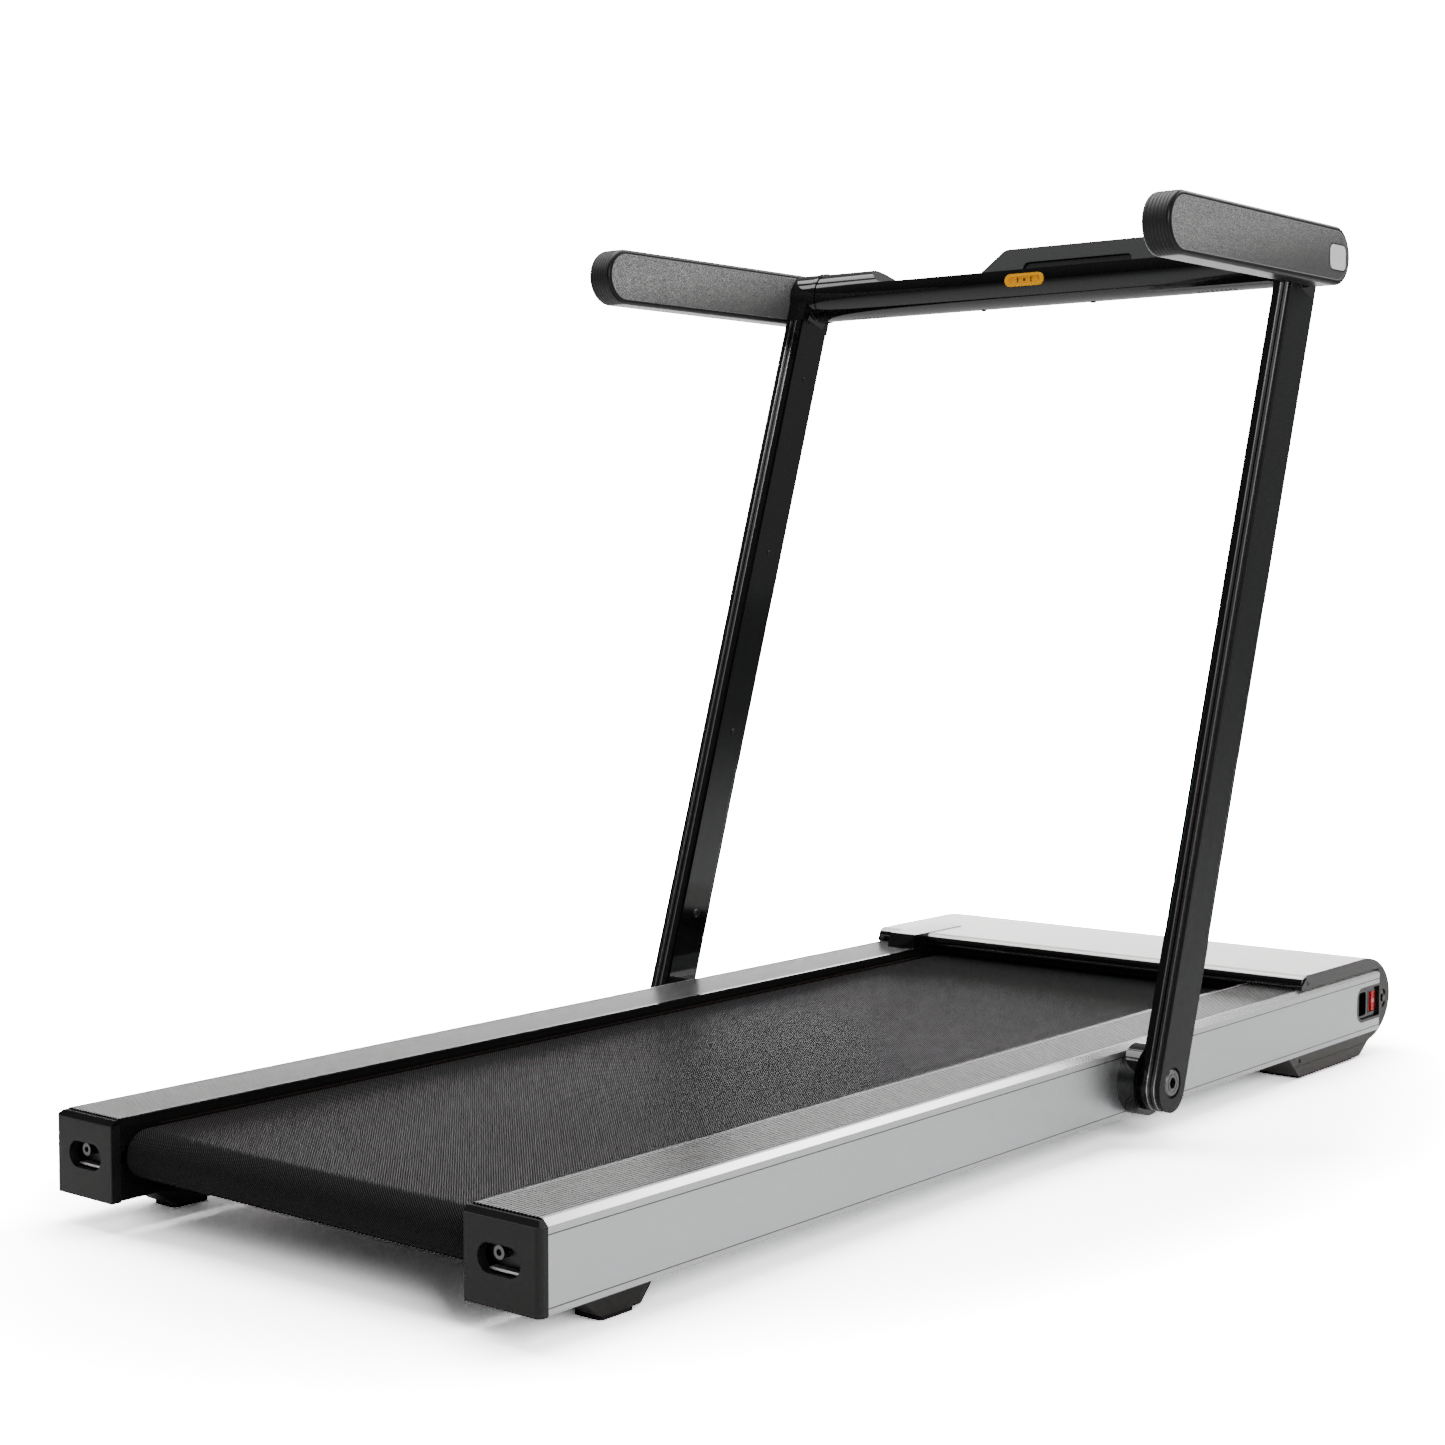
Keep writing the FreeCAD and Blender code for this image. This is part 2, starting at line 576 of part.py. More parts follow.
def motor_pulley():
    wheel_body = pipe("x", PULLEY_IN, PULLEY_OUT, MOTOR_Y, MOTOR_Z, MOTOR_PULLEY_R, SHAFT_R)
    for i in range(3):
        middle = PULLEY_IN + 1.9 + i * 1.9
        wheel_body = wheel_body.cut(pipe("x", middle - 0.4, middle + 0.4, MOTOR_Y, MOTOR_Z,
                                         MOTOR_PULLEY_R + 1, MOTOR_PULLEY_R - 1))
    return wheel_body


def motor_cradle():
    cradle = box(60.0, 180.0, MOTOR_Y - 32, MOTOR_Y + 32, 21.0, 46.0)
    return cradle.cut(rod("x", 0, 220, MOTOR_Y, MOTOR_Z, MOTOR_R))


def control_board():
    board = box(-200.0, -30.0, 1330.0, 1436.0, 28.0, 29.6)
    posts = [rod("z", 21.0, 28.0, x, y, 4.0) for x in (-190.0, -40.0) for y in (1340.0, 1426.0)]
    for post in posts:
        board = board.fuse(post)
    return board


def heat_sink():
    sink = box(-190.0, -130.0, 1345.0, 1425.0, 29.6, 33.0)
    for i in range(9):
        y = 1346.0 + i * 9.5
        sink = sink.fuse(box(-190.0, -130.0, y, y + 2.0, 33.0, 70.0))
    return sink


def board_parts():
    """Two smoothing capacitors, a choke and a relay on the control board."""
    cans = [rod("z", 29.6, 74.0, -104.0, y, 13.0) for y in (1362.0, 1394.0)]
    choke = pipe("z", 29.6, 44.0, -62.0, 1370.0, 17.0, 8.0)
    return cans + [choke, box(-80.0, -52.0, 1400.0, 1424.0, 29.6, 52.0)]


# ---------------------------------------------------------------- mains inlet and switches
def pocket_rail_cut():
    return pocket(0.0, HALF_WIDTH - 6, HALF_WIDTH + 1)


def inlet_bezel():
    """Moulded tray that fills the pocket, with windows for the inlet and the rocker."""
    tray = pocket(0.0, POCKET_FLOOR, HALF_WIDTH - 0.4)
    tray = tray.cut(pocket(-3.0, POCKET_FLOOR + 2.0, HALF_WIDTH + 1))
    tray = tray.cut(box(POCKET_FLOOR - 1, HALF_WIDTH, INLET[0], INLET[1], INLET[2], INLET[3]))
    return tray.cut(box(POCKET_FLOOR - 1, HALF_WIDTH, ROCKER[0], ROCKER[1], ROCKER[2], ROCKER[3]))


def power_inlet():
    """Three-pin appliance inlet: a cup with its three blades."""
    cup = box(270.0, POCKET_FLOOR + 2.6, INLET[0], INLET[1], INLET[2], INLET[3])
    cup = cup.cut(prism("x", [(INLET[0] + 2.5, INLET[2] + 2.5, 1), (INLET[1] - 2.5, INLET[2] + 2.5, 4),
                              (INLET[1] - 2.5, INLET[3] - 2.5, 4), (INLET[0] + 2.5, INLET[3] - 2.5, 1)],
                        274.0, 300.0))
    for y, z in ((1428.0, 56.5), (1428.0, 70.5), (1435.0, 63.5)):
        cup = cup.fuse(box(273.0, 288.0, y - 1, y + 1, z - 2, z + 2))
    return cup


def inlet_module():
    """Tray, inlet cup and rocker housing are one moulding."""
    return inlet_bezel().fuse(power_inlet()).fuse(rocker_housing()).removeSplitter()


def rocker_housing():
    y0, y1, z0, z1 = ROCKER
    frame = box(272.0, POCKET_FLOOR + 2.4, y0, y1, z0, z1)
    frame = frame.cut(box(276.0, 300.0, y0 + 1.2, y1 - 1.2, z0 + 1.2, z1 - 1.2))
    return frame


def power_rocker():
    """Rocker with a shallow valley across it; it tips about an upright pin, shown tipped to off."""
    y0, y1, z0, z1 = ROCKER
    middle = (y0 + y1) / 2
    reach = (y1 - y0) / 2 - 3.4
    outline = [(ROCKER_PIVOT_X - 4, middle - 4), (ROCKER_PIVOT_X + 9.6, middle - reach),
               (ROCKER_PIVOT_X + 8.2, middle), (ROCKER_PIVOT_X + 9.6, middle + reach),
               (ROCKER_PIVOT_X - 4, middle + 4)]
    lever = prism("z", outline, z0 + 1.7, z1 - 1.7)
    lever = lever.fuse(rod("z", z0 + 1.4, z1 - 1.4, ROCKER_PIVOT_X, middle, 2.5))
    lever.rotate(V(ROCKER_PIVOT_X, middle, 0), V(0, 0, 1), ROCKER_TIP)
    return lever


def breaker_body():
    """Pill-shaped holder of the overload reset button."""
    body = pill("x", 1478, 1492, 53, 75, CAP_INNER + 2, CAP_OUTER - 1.5)
    return body.cut(rod("x", CAP_INNER, HALF_WIDTH, BREAKER_Y, BREAKER_Z, BREAKER_R + RUN_GAP))


def breaker_button():
    return rod("x", CAP_INNER + 2.5, CAP_OUTER + 1.2, BREAKER_Y, BREAKER_Z, BREAKER_R)


# ---------------------------------------------------------------- fold pivots
def pivot_boss():
    boss = rod("x", HALF_WIDTH, POST_IN - 0.4, PIVOT_Y, PIVOT_Z, BOSS_R)
    return boss.cut(rod("x", HALF_WIDTH - 1, POST_IN + 1, PIVOT_Y, PIVOT_Z, BOLT_R))


def pivot_block():
    """Steel block inside the rail that takes the pivot bolt's thread."""
    block = box(275.0, HALF_WIDTH - RAIL_WALL, PIVOT_Y - 32, PIVOT_Y + 32, RAIL_BOTTOM + 4, 94.0)
    return block.cut(rod("x", 270, HALF_WIDTH, PIVOT_Y, PIVOT_Z, BOLT_R))


def pivot_bolt():
    bolt = rod("x", 270.0, FACE_IN + 0.3, PIVOT_Y, PIVOT_Z, BOLT_R)
    head = rod("x", FACE_IN + 0.3, POST_OUT - 0.2, PIVOT_Y, PIVOT_Z, BOLT_HEAD_R)
    rim = [edge for edge in head.Edges if edge.BoundBox.XMin > POST_OUT - 0.3]
    head = head.makeChamfer(1.2, rim)
    dish = pipe("x", POST_OUT - 0.9, POST_OUT, PIVOT_Y, PIVOT_Z, 9.6, 8.6)
    head = head.cut(dish)
    corners = [(PIVOT_Y + 6.4 * math.cos(math.radians(60 * i)),
                PIVOT_Z + 6.4 * math.sin(math.radians(60 * i))) for i in range(6)]
    return bolt.fuse(head).cut(prism("x", corners, POST_OUT - 9, POST_OUT + 1))


# ---------------------------------------------------------------- posts, drawn upright about the pivot
def post_outline(half, x0, x1, top):
    """Flat bar with a round foot."""
    bar = box(x0, x1, -half, half, -POST_FOOT, top)
    return bar.fuse(rod("x", x0, x1, 0, -POST_FOOT, half)).removeSplitter()


def post_cover():
    """Gloss inner cover with rounded long edges."""
    edge = 2.0
    trim = post_outline(POST_HALF - edge, POST_IN, CORE_IN, POST_TOP)
    slim = post_outline(POST_HALF, POST_IN + edge, CORE_IN, POST_TOP)
    cover = trim.fuse(slim)
    cover = cover.cut(rod("x", POST_IN - 1, CORE_IN + 1, 0, 0, 12.0))
    return lean(cover.removeSplitter())


def post_core():
    """Aluminium extrusion with a shadow line along its edges and a channel for the console wires."""
    core = post_outline(POST_HALF, CORE_IN, CORE_OUT, POST_TOP)
    middle = (CORE_IN + CORE_OUT) / 2
    for side in (-1, 1):
        inner, outer = sorted((side * (POST_HALF - 1.0), side * (POST_HALF + 1.0)))
        core = core.cut(box(middle - 0.8, middle + 0.8, inner, outer, 0, POST_TOP + 1))
    core = core.cut(box(CORE_IN + 3, CORE_OUT - 3, -POST_HALF + 4, POST_HALF - 4, 40, POST_TOP + 1))
    return lean(core.cut(rod("x", CORE_IN - 1, CORE_OUT + 1, 0, 0, 12.0)))


def post_bush():
    return lean(pipe("x", POST_IN, CORE_OUT, 0, 0, 12.0, BOLT_R + RUN_GAP))


def post_face():
    """Matt outer face on a narrower neck, which leaves a black groove beside the extrusion."""
    neck = post_outline(POST_HALF - 2.0, CORE_OUT, FACE_IN, POST_TOP)
    face = post_outline(POST_HALF, FACE_IN, POST_OUT, POST_TOP)
    plate = neck.fuse(face).cut(rod("x", CORE_OUT - 1, FACE_IN + 1, 0, 0, BOLT_R + 1))
    return lean(plate.cut(rod("x", FACE_IN, POST_OUT + 1, 0, 0, BOLT_HEAD_R + 2)).removeSplitter())


def post_screws():
    """Screws down the inner cover; the lowest one is larger."""
    screws = []
    for rise, radius in ((793.0, 3.0), (567.0, 3.0), (340.0, 3.0), (115.0, 5.0)):
        screws.append(lean(rod("x", POST_IN - 0.8, POST_IN, 0, rise, radius)))
    return screws + [mirrored(screw) for screw in screws]


def post_head():
    """Gloss elbow between a post, the console bar and a handrail."""
    neck = box(POST_IN, POST_OUT - 0.2, -POST_HALF, POST_HALF, POST_TOP, POST_REACH)
    barrel = rod("x", BAR_HALF + 6, POST_OUT - 0.2, 0, POST_REACH, BAR_R + 0.4)
    web = prism("y", [(POST_IN, POST_TOP + 4), (POST_IN, POST_TOP + 40), (BAR_HALF + 6, POST_TOP + 40),
                      (BAR_HALF + 6, POST_TOP + 24, 8)], -16, 16)
    head = neck.fuse(barrel).fuse(web)
    head = head.cut(rod("x", 330, POST_OUT + 1, 0, POST_REACH, PIN_R))
    return lean(head.removeSplitter())


def hinge_pin():
    return rod("x", 330.0, 366.0, BAR_Y, BAR_Z, PIN_R)


# ---------------------------------------------------------------- console
def along_bar(y, z):
    """A place in the bar's section, from its axis."""
    return BAR_Y + y, BAR_Z + z


def bar_form(radius, flat, half):
    """Round bar whose middle is cut flat, with sloped ends to the flat."""
    shift = BAR_R - radius
    body = rod("x", -half, half, BAR_Y, BAR_Z, radius)
    rise = BAR_Z + flat
    corners = [(-FLAT_HALF - shift, rise, 12), (FLAT_HALF + shift, rise, 12),
               (SCOOP_HALF + shift + 8, rise + 26), (-SCOOP_HALF - shift - 8, rise + 26)]
    return body.cut(prism("y", corners, BAR_Y - 40, BAR_Y + 40))


def speaker_slots(side):
    slots = []
    for i in range(9):
        x = side * (214.0 + i * 5.6)
        slots.append(box(x - 1.0, x + 1.0, BAR_Y - 9, BAR_Y + 9, BAR_Z - BAR_R - 2, BAR_Z - BAR_R + 6))
    return slots


def console_shell():
    hollow = bar_form(BAR_R - BAR_WALL, FLAT_RISE - BAR_WALL, BAR_HALF + 2)
    shell = bar_form(BAR_R, FLAT_RISE, BAR_HALF).cut(hollow)
    shell = shell.cut(prism("z", [(-170, BAR_Y - 19, 6), (170, BAR_Y - 19, 6), (170, BAR_Y + 19, 6),
                                  (-170, BAR_Y + 19, 6)], BAR_Z + FLAT_RISE - 1.0, BAR_Z + 40))
    for side in (-1, 1):
        for slot in speaker_slots(side):
            shell = shell.cut(slot)
    for screw in console_screws():
        shell = shell.cut(screw)
    socket = key_form(KEY_HALF + 2.5, KEY_HIGH + 2.5, 2.5, KEY_DEPTH + 2.0)
    shell = shell.fuse(socket.common(rod("x", -40, 40, BAR_Y, BAR_Z, BAR_R)))
    seat = key_form(KEY_HALF + FIT_GAP, KEY_HIGH + FIT_GAP, -1.0, KEY_DEPTH + FIT_GAP)
    return shell.cut(seat).removeSplitter()


def key_form(half_long, half_high, start, end):
    """Stadium of the safety key on the bar's rear face, between two depths."""
    rear = BAR_Y - BAR_R - KEY_PROUD
    return pill("y", -half_long, half_long, BAR_Z + KEY_RISE - half_high, BAR_Z + KEY_RISE + half_high,
                rear + start, rear + end)


def safety_key():
    key = key_form(KEY_HALF, KEY_HIGH, 0.0, KEY_DEPTH)
    return key.cut(key_form(KEY_HALF - 4.0, KEY_HIGH - 3.4, -1.0, 1.8))


def console_collars():
    ring = pipe("x", BAR_HALF, BAR_HALF + 6, BAR_Y, BAR_Z, BAR_R + 1.3, BAR_R - 6)
    return both_sides(ring)


def display_panel():
    top = BAR_Z + FLAT_RISE
    return prism("z", [(-169.8, BAR_Y - 18.8, 6), (169.8, BAR_Y - 18.8, 6), (169.8, BAR_Y + 18.8, 6),
                       (-169.8, BAR_Y + 18.8, 6)], top - 1.0, top)


def display_board():
    board = box(-150.0, 150.0, BAR_Y - 17, BAR_Y + 17, BAR_Z + 2.0, BAR_Z + 3.6)
    modules = box(-60.0, 60.0, BAR_Y - 11, BAR_Y + 11, BAR_Z + 3.6, BAR_Z + 8.5)
    return board.fuse(modules)


def speakers():
    y, z = along_bar(0.0, -20.5)
    cone = rod("z", z, z + 3.0, 236.0, y, 14.5).fuse(rod("z", z + 3.0, z + 12.0, 236.0, y, 10.0))
    return both_sides(cone)


def console_screws():
    low = BAR_Z - BAR_R
    screw = rod("z", low - 0.4, low + 8.0, SCREW_X, BAR_Y, SCREW_R)
    return both_sides(screw)


def tablet_tray():
    """Shelf ahead of the bar and a leaning back with cut corners and one long recess."""
    shelf = box(-TRAY_HALF, TRAY_HALF, BAR_Y + 20, BAR_Y + TRAY_BACK_Y + TRAY_SKIN,
                BAR_Z + TRAY_SHELF_Z, BAR_Z + TRAY_SHELF_Z + TRAY_SKIN)
    shelf = shelf.cut(rod("x", -400, 400, BAR_Y, BAR_Z, BAR_R))
    base = BAR_Z + TRAY_SHELF_Z
    top = base + TRAY_HEIGHT
    back = prism("y", [(-TRAY_HALF, base), (TRAY_HALF, base), (104, top, 12), (-104, top, 12)],
                 BAR_Y + TRAY_BACK_Y, BAR_Y + TRAY_BACK_Y + TRAY_SKIN)
    back = back.cut(pill("y", -75, 75, base + 17, base + 31, BAR_Y + TRAY_BACK_Y - 1,
                         BAR_Y + TRAY_BACK_Y + TRAY_RECESS))
    back.rotate(V(0, BAR_Y + TRAY_BACK_Y, base), V(1, 0, 0), -TRAY_LEAN)
    return shelf.fuse(back).removeSplitter()


# ---------------------------------------------------------------- handrails
def grip_form(inset, x0, x1):
    """Stadium seen from the side; its front end is concentric with the hinge."""
    radius = RAIL_GRIP_R - inset
    bar = box(x0, x1, GRIP_REAR_Y, BAR_Y, BAR_Z - radius, BAR_Z + radius)
    rear = rod("x", x0, x1, GRIP_REAR_Y, BAR_Z, radius)
    return bar.fuse(rear).fuse(rod("x", x0, x1, BAR_Y, BAR_Z, radius)).removeSplitter()


def soft_grip():
    """Stadium with its outer edges rounded over."""
    form = grip_form(0.0, GRIP_IN, GRIP_OUT)
    rims = [edge for edge in form.Edges if edge.BoundBox.XLength < 0.01]
    return form.makeFillet(4.0, rims)


def band_zone():
    return box(GRIP_IN - 5, GRIP_OUT + 5, 700, GRIP_REAR_Y - 4, 700, 1100)


def band_ring():
    """Groove around the handrail's rear end that holds the rubber band."""
    ring = grip_form(0.0, GRIP_IN + 3.5, GRIP_OUT - 3.5).cut(grip_form(3.0, GRIP_IN, GRIP_OUT))
    return ring.common(band_zone())


def handrail_core():
    core = soft_grip()
    core = core.cut(grip_form(PANEL_INSET, GRIP_OUT - PANEL_DEPTH, GRIP_OUT + 1))
    core = core.cut(grip_form(PANEL_INSET, GRIP_IN - 1, GRIP_IN + PANEL_DEPTH))
    core = core.cut(box(GRIP_IN + 11, GRIP_OUT - 7, GRIP_REAR_Y, BAR_Y, BAR_Z - 16, BAR_Z + 16))
    core = core.cut(band_ring())
    return core.cut(rod("x", GRIP_IN - 1, 368.0, BAR_Y, BAR_Z, PIN_R + RUN_GAP))


def handrail_spine():
    """Steel flat bar inside the grip, bored for the hinge pin."""
    spine = box(GRIP_IN + 11, GRIP_IN + 17, GRIP_REAR_Y, BAR_Y, BAR_Z - 16, BAR_Z + 16)
    return spine.cut(rod("x", GRIP_IN, GRIP_OUT, BAR_Y, BAR_Z, PIN_R + RUN_GAP))


def grip_panels():
    outer = grip_form(PANEL_INSET + 0.1, GRIP_OUT - PANEL_DEPTH, GRIP_OUT - 0.2)
    inner = grip_form(PANEL_INSET + 0.1, GRIP_IN + 0.2, GRIP_IN + PANEL_DEPTH)
    return [outer, inner.cut(rod("x", GRIP_IN - 1, GRIP_OUT, BAR_Y, BAR_Z, PIN_R + 1))]


# ---------------------------------------------------------------- build everything
def build_deck():
    right = rail()
    left = mirrored(right)
    write("rail_right", right.cut(pocket_rail_cut()))
    write("rail_left", left)
    write("rear_caps", *both_sides(rear_cap()))
    write("take_up_plates", take_up_plate(), moved(take_up_plate(), TAKE_UP_SHIFT))
    write("take_up_bolt_right", take_up_bolt())
    write("take_up_bolt_left", moved(take_up_bolt(), TAKE_UP_SHIFT))
    write("roller_axles", rear_axle(), axle(FRONT_ROLLER_Y))
    write("rear_roller", roller(REAR_ROLLER_Y))
    write("rear_bearings", *bearings(REAR_ROLLER_Y))
    write("front_roller", roller(FRONT_ROLLER_Y))
    write("front_bearings", *bearings(FRONT_ROLLER_Y))
    write("roller_pulley", roller_pulley())
    write("walking_belt", walking_belt())
    write("deck_board", deck_board())
    write("deck_cushions", *deck_cushions())
    write("cross_members", *[cross_member(y) for y in CROSS_YS])
    write("feet", *both_sides(rear_foot()), *both_sides(front_foot()))
    write("foot_pads", *both_sides(rear_foot_pad()), *both_sides(front_foot_pad()))
    write_pair("wheel", wheel())
    write("wheel_forks", *both_sides(wheel_fork()))


def build_motor_bay():
    write("cover_plate", cover_plate())
    write("cover_apron", cover_apron())
    write("nose_shell", nose_shell())
    write("end_cap_right", end_cap_right())
    write("end_cap_left", mirrored(end_cap()))
    write("receiver_pod", receiver_pod())
    write("belly_pan", belly_pan().fuse(motor_cradle()))
    write("motor_case", motor_case(), *motor_magnets())
    write("motor_shaft", motor_shaft())
    write("flywheel", flywheel())
    write("motor_pulley", motor_pulley())
    write("drive_belt", drive_belt())
    write("control_board", control_board())
    write("board_parts", heat_sink(), *board_parts())
    write("inlet_module", inlet_module(), breaker_body())
    write("power_rocker", power_rocker())
    write("breaker_button", breaker_button())


def build_posts():
    write("pivot_bosses", *both_sides(pivot_boss()))
    write("pivot_blocks", *both_sides(pivot_block()))
    write("pivot_bolts", *both_sides(pivot_bolt()))
    write("post_covers", *both_sides(post_cover()))
    write("post_cores", *both_sides(post_core()))
    write("post_bushes", *both_sides(post_bush()))
    write("post_faces", *both_sides(post_face()))
    write("post_heads", *both_sides(post_head()))
    write("hinge_pins", *both_sides(hinge_pin()))


def build_console():
    write("console_shell", console_shell())
    write("console_collars", *console_collars())
    write("display_panel", display_panel())
    write("console_electronics", display_board(), *speakers())
    write("frame_screws", *post_screws(), *console_screws())
    write("safety_key", safety_key())
    write("tablet_tray", tablet_tray())


def build_handrails():
    write_pair("handrail_core", handrail_core())
    write_pair("handrail_spine", handrail_spine())
    trim = grip_panels() + [band_ring()]
    write("grip_trim_left", *[mirrored(piece) for piece in trim])
    write("grip_trim_right", *trim)


build_deck()
build_motor_bay()
build_posts()
build_console()
build_handrails()
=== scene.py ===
# %% [markdown]
# # A slim folding treadmill
# The machine is a flat running deck between two aluminium side rails, with two leaning posts, a
# round console bar and two folding handrails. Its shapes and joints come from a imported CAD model,
# which is loaded first and stays where it is. Everything below gives those parts their finishes,
# adds the small details that CAD left plain, and sets up a small studio.

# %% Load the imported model
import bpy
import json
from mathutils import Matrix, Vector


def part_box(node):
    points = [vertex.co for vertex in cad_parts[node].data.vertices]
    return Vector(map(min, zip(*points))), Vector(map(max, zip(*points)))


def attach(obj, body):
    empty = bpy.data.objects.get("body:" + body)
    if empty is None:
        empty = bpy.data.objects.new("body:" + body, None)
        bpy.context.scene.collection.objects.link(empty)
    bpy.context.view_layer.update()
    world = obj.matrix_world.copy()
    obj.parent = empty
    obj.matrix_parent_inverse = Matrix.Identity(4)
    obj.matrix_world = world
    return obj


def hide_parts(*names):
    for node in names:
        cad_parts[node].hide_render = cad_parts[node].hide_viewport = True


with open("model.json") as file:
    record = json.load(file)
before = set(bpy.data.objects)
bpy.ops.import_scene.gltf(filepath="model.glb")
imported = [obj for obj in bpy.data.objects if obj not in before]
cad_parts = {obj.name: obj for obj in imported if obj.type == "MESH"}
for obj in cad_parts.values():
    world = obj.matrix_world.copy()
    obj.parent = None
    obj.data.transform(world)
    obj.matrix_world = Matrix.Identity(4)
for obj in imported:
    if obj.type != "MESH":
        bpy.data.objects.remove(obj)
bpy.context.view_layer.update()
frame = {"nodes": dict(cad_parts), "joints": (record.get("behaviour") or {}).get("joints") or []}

import bmesh
import bpy
import json
import math

NODES = frame["nodes"]

# %% [markdown]
# ## Reading places from the parts
# A piece that is added later has to sit exactly on a part. Its place is worked out from the box of
# that part, so that no position is written down twice. Metres are used all through.

# %% Places that later cells use
MM = 0.001


def record_joint(name):
    return next(joint for joint in frame["joints"] if joint["name"] == name)


HANDRAIL_PIVOT = record_joint("handrail_right_fold")["pos_m"]
GRIP_LOW, GRIP_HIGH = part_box("handrail_core_right")
RAIL_LOW, RAIL_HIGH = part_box("rail_right")
print("side rail", round((RAIL_HIGH.z - RAIL_LOW.z) * 1000, 1), "mm deep")

# %% [markdown]
# ## Writing shader maths as sums
# A procedural finish is a chain of small maths nodes. Wiring them by hand hides the idea, so one
# small class wraps a node's output and turns `a * b + 1` into the nodes that work it out.

# %% A wrapped socket
class Wire:
    """One output of a shader node, which Python's operators turn into Math nodes."""

    def __init__(self, tree, socket):
        self.tree = tree
        self.socket = socket

    def maths(self, operation, *terms):
        node = self.tree.nodes.new("ShaderNodeMath")
        node.operation = operation
        for slot, term in zip(node.inputs, terms):
            if isinstance(term, Wire):
                self.tree.links.new(term.socket, slot)
            else:
                slot.default_value = term
        return Wire(self.tree, node.outputs[0])

    def __add__(self, other):
        return self.maths("ADD", self, other)

    def __radd__(self, other):
        return self.maths("ADD", other, self)

    def __sub__(self, other):
        return self.maths("SUBTRACT", self, other)

    def __rsub__(self, other):
        return self.maths("SUBTRACT", other, self)

    def __mul__(self, other):
        return self.maths("MULTIPLY", self, other)

    def __rmul__(self, other):
        return self.maths("MULTIPLY", other, self)

    def __gt__(self, other):
        return self.maths("GREATER_THAN", self, other)

    def __lt__(self, other):
        return self.maths("LESS_THAN", self, other)

    def sine(self):
        return self.maths("SINE", self)

    def size(self):
        return self.maths("ABSOLUTE", self)

    def root(self):
        return self.maths("SQRT", self)

    def larger(self, other):
        return self.maths("MAXIMUM", self, other)


print("wires ready")

# %% [markdown]
# ## One method for every other node
# A node is a type, a few settings and some values. The same method makes it in a material, in the
# world or in a Geometry Nodes tree. A value that is itself an output gets wired, and any other
# value is written on the input.

# %% A bench that makes nodes
class Bench:
    """A node tree with a single method that makes any node in it."""

    def __init__(self, tree):
        self.tree = tree

    def feed(self, value, slot):
        if isinstance(value, Wire):
            self.tree.links.new(value.socket, slot)
        else:
            slot.default_value = value

    def node(self, kind, settings, values, output=0):
        made = self.tree.nodes.new(kind)
        for key, value in settings.items():
            setattr(made, key, value)
        for key, value in values.items():
            self.feed(value, made.inputs[key])
        return Wire(self.tree, made.outputs[output])


print("bench ready")

# %% [markdown]
# ## A finish
# Every material here is one Principled shader. Numbers that are the same all over are set on the
# shader's own sockets. Only what varies over the surface is wired in, and patterns read Object
# coordinates, so they stay fixed to the part when it moves.

# %% A material under construction
class Finish(Bench):
    """One material with a Principled shader, and the patterns it is built from."""

    def __init__(self, name, colour, rough, metal=0.0, **sockets):
        self.material = bpy.data.materials.new(name)
        self.material.use_nodes = True
        super().__init__(self.material.node_tree)
        self.shader = self.tree.nodes["Principled BSDF"]
        self.set("Base Color", (*colour, 1.0))
        self.set("Roughness", rough)
        self.set("Metallic", metal)
        for socket, value in sockets.items():
            self.set(socket.replace("_", " "), value)
        self.place = self.node("ShaderNodeTexCoord", {}, {}, "Object")
        axes = [self.node("ShaderNodeSeparateXYZ", {}, {0: self.place}, i) for i in range(3)]
        self.x, self.y, self.z = axes

    def set(self, socket, value):
        self.feed(value, self.shader.inputs[socket])

    def stretched(self, scale):
        """Object coordinates scaled differently along each axis."""
        return self.node("ShaderNodeVectorMath", {"operation": "MULTIPLY"},
                         {0: self.place, 1: scale})

    def noise(self, scale, detail=2.0, stretch=None):
        where = self.stretched(stretch) if stretch else self.place
        return self.node("ShaderNodeTexNoise", {},
                         {"Vector": where, "Scale": scale, "Detail": detail})

    def tinted(self, tone, colour):
        """A colour made lighter or darker by one varying number."""
        channels = {i: tone * colour[i] for i in range(3)}
        return self.node("ShaderNodeCombineColor", {}, channels)

    def blend(self, factor, first, second):
        """Mixes two colours; sockets 6 and 7 are the colour inputs of a Mix node."""
        def full(colour):
            return colour if isinstance(colour, Wire) else (*colour, 1.0)
        return self.node("ShaderNodeMix", {"data_type": "RGBA"},
                         {0: factor, 6: full(first), 7: full(second)}, 2)

    def step(self, value, low, high):
        """Zero below low, one above high and smooth between."""
        return self.node("ShaderNodeMapRange", {"interpolation_type": "SMOOTHSTEP"},
                         {"Value": value, "From Min": low, "From Max": high})

    def bump(self, height, depth, strength=1.0):
        self.set("Normal", self.node("ShaderNodeBump", {}, {"Height": height, "Distance": depth,
                                                            "Strength": strength}))


def grey(level, warm=0.0):
    """A grey with a little red added and blue taken away."""
    return (level * (1 + warm), level, level * (1 - warm))


print("finish builder ready")

# %% [markdown]
# ## Aluminium side rails
# The rails are one long extrusion with a satin anodised skin. Dies leave very fine lines along its
# length, so a noise is squashed along Y until it looks like brushing. The lip next to the belt is
# a black insert. The tread between its grooves is painted a darker grey for the dark reflection
# its ribs show, and the groove floors are painted near black as shade. The top chamfer is painted
# near white as a highlight, and a thin painted highlight runs along the lip's edge.

# %% The rail's bands, from its box
TREAD_END = RAIL_HIGH.x - 7.5 * MM
CHAMFER_START = RAIL_HIGH.x - 5.2 * MM
CHAMFER_FOOT = RAIL_HIGH.z - 5.6 * MM
LINE_FLOOR = RAIL_HIGH.x - 1.0 * MM
LINE_MOUTH = RAIL_HIGH.x - 0.15 * MM
LIP_END = RAIL_LOW.x + 3.6 * MM
BRUSH_SCALE = 900.0
print("tread", round((TREAD_END - LIP_END) * 1000, 1), "mm wide")

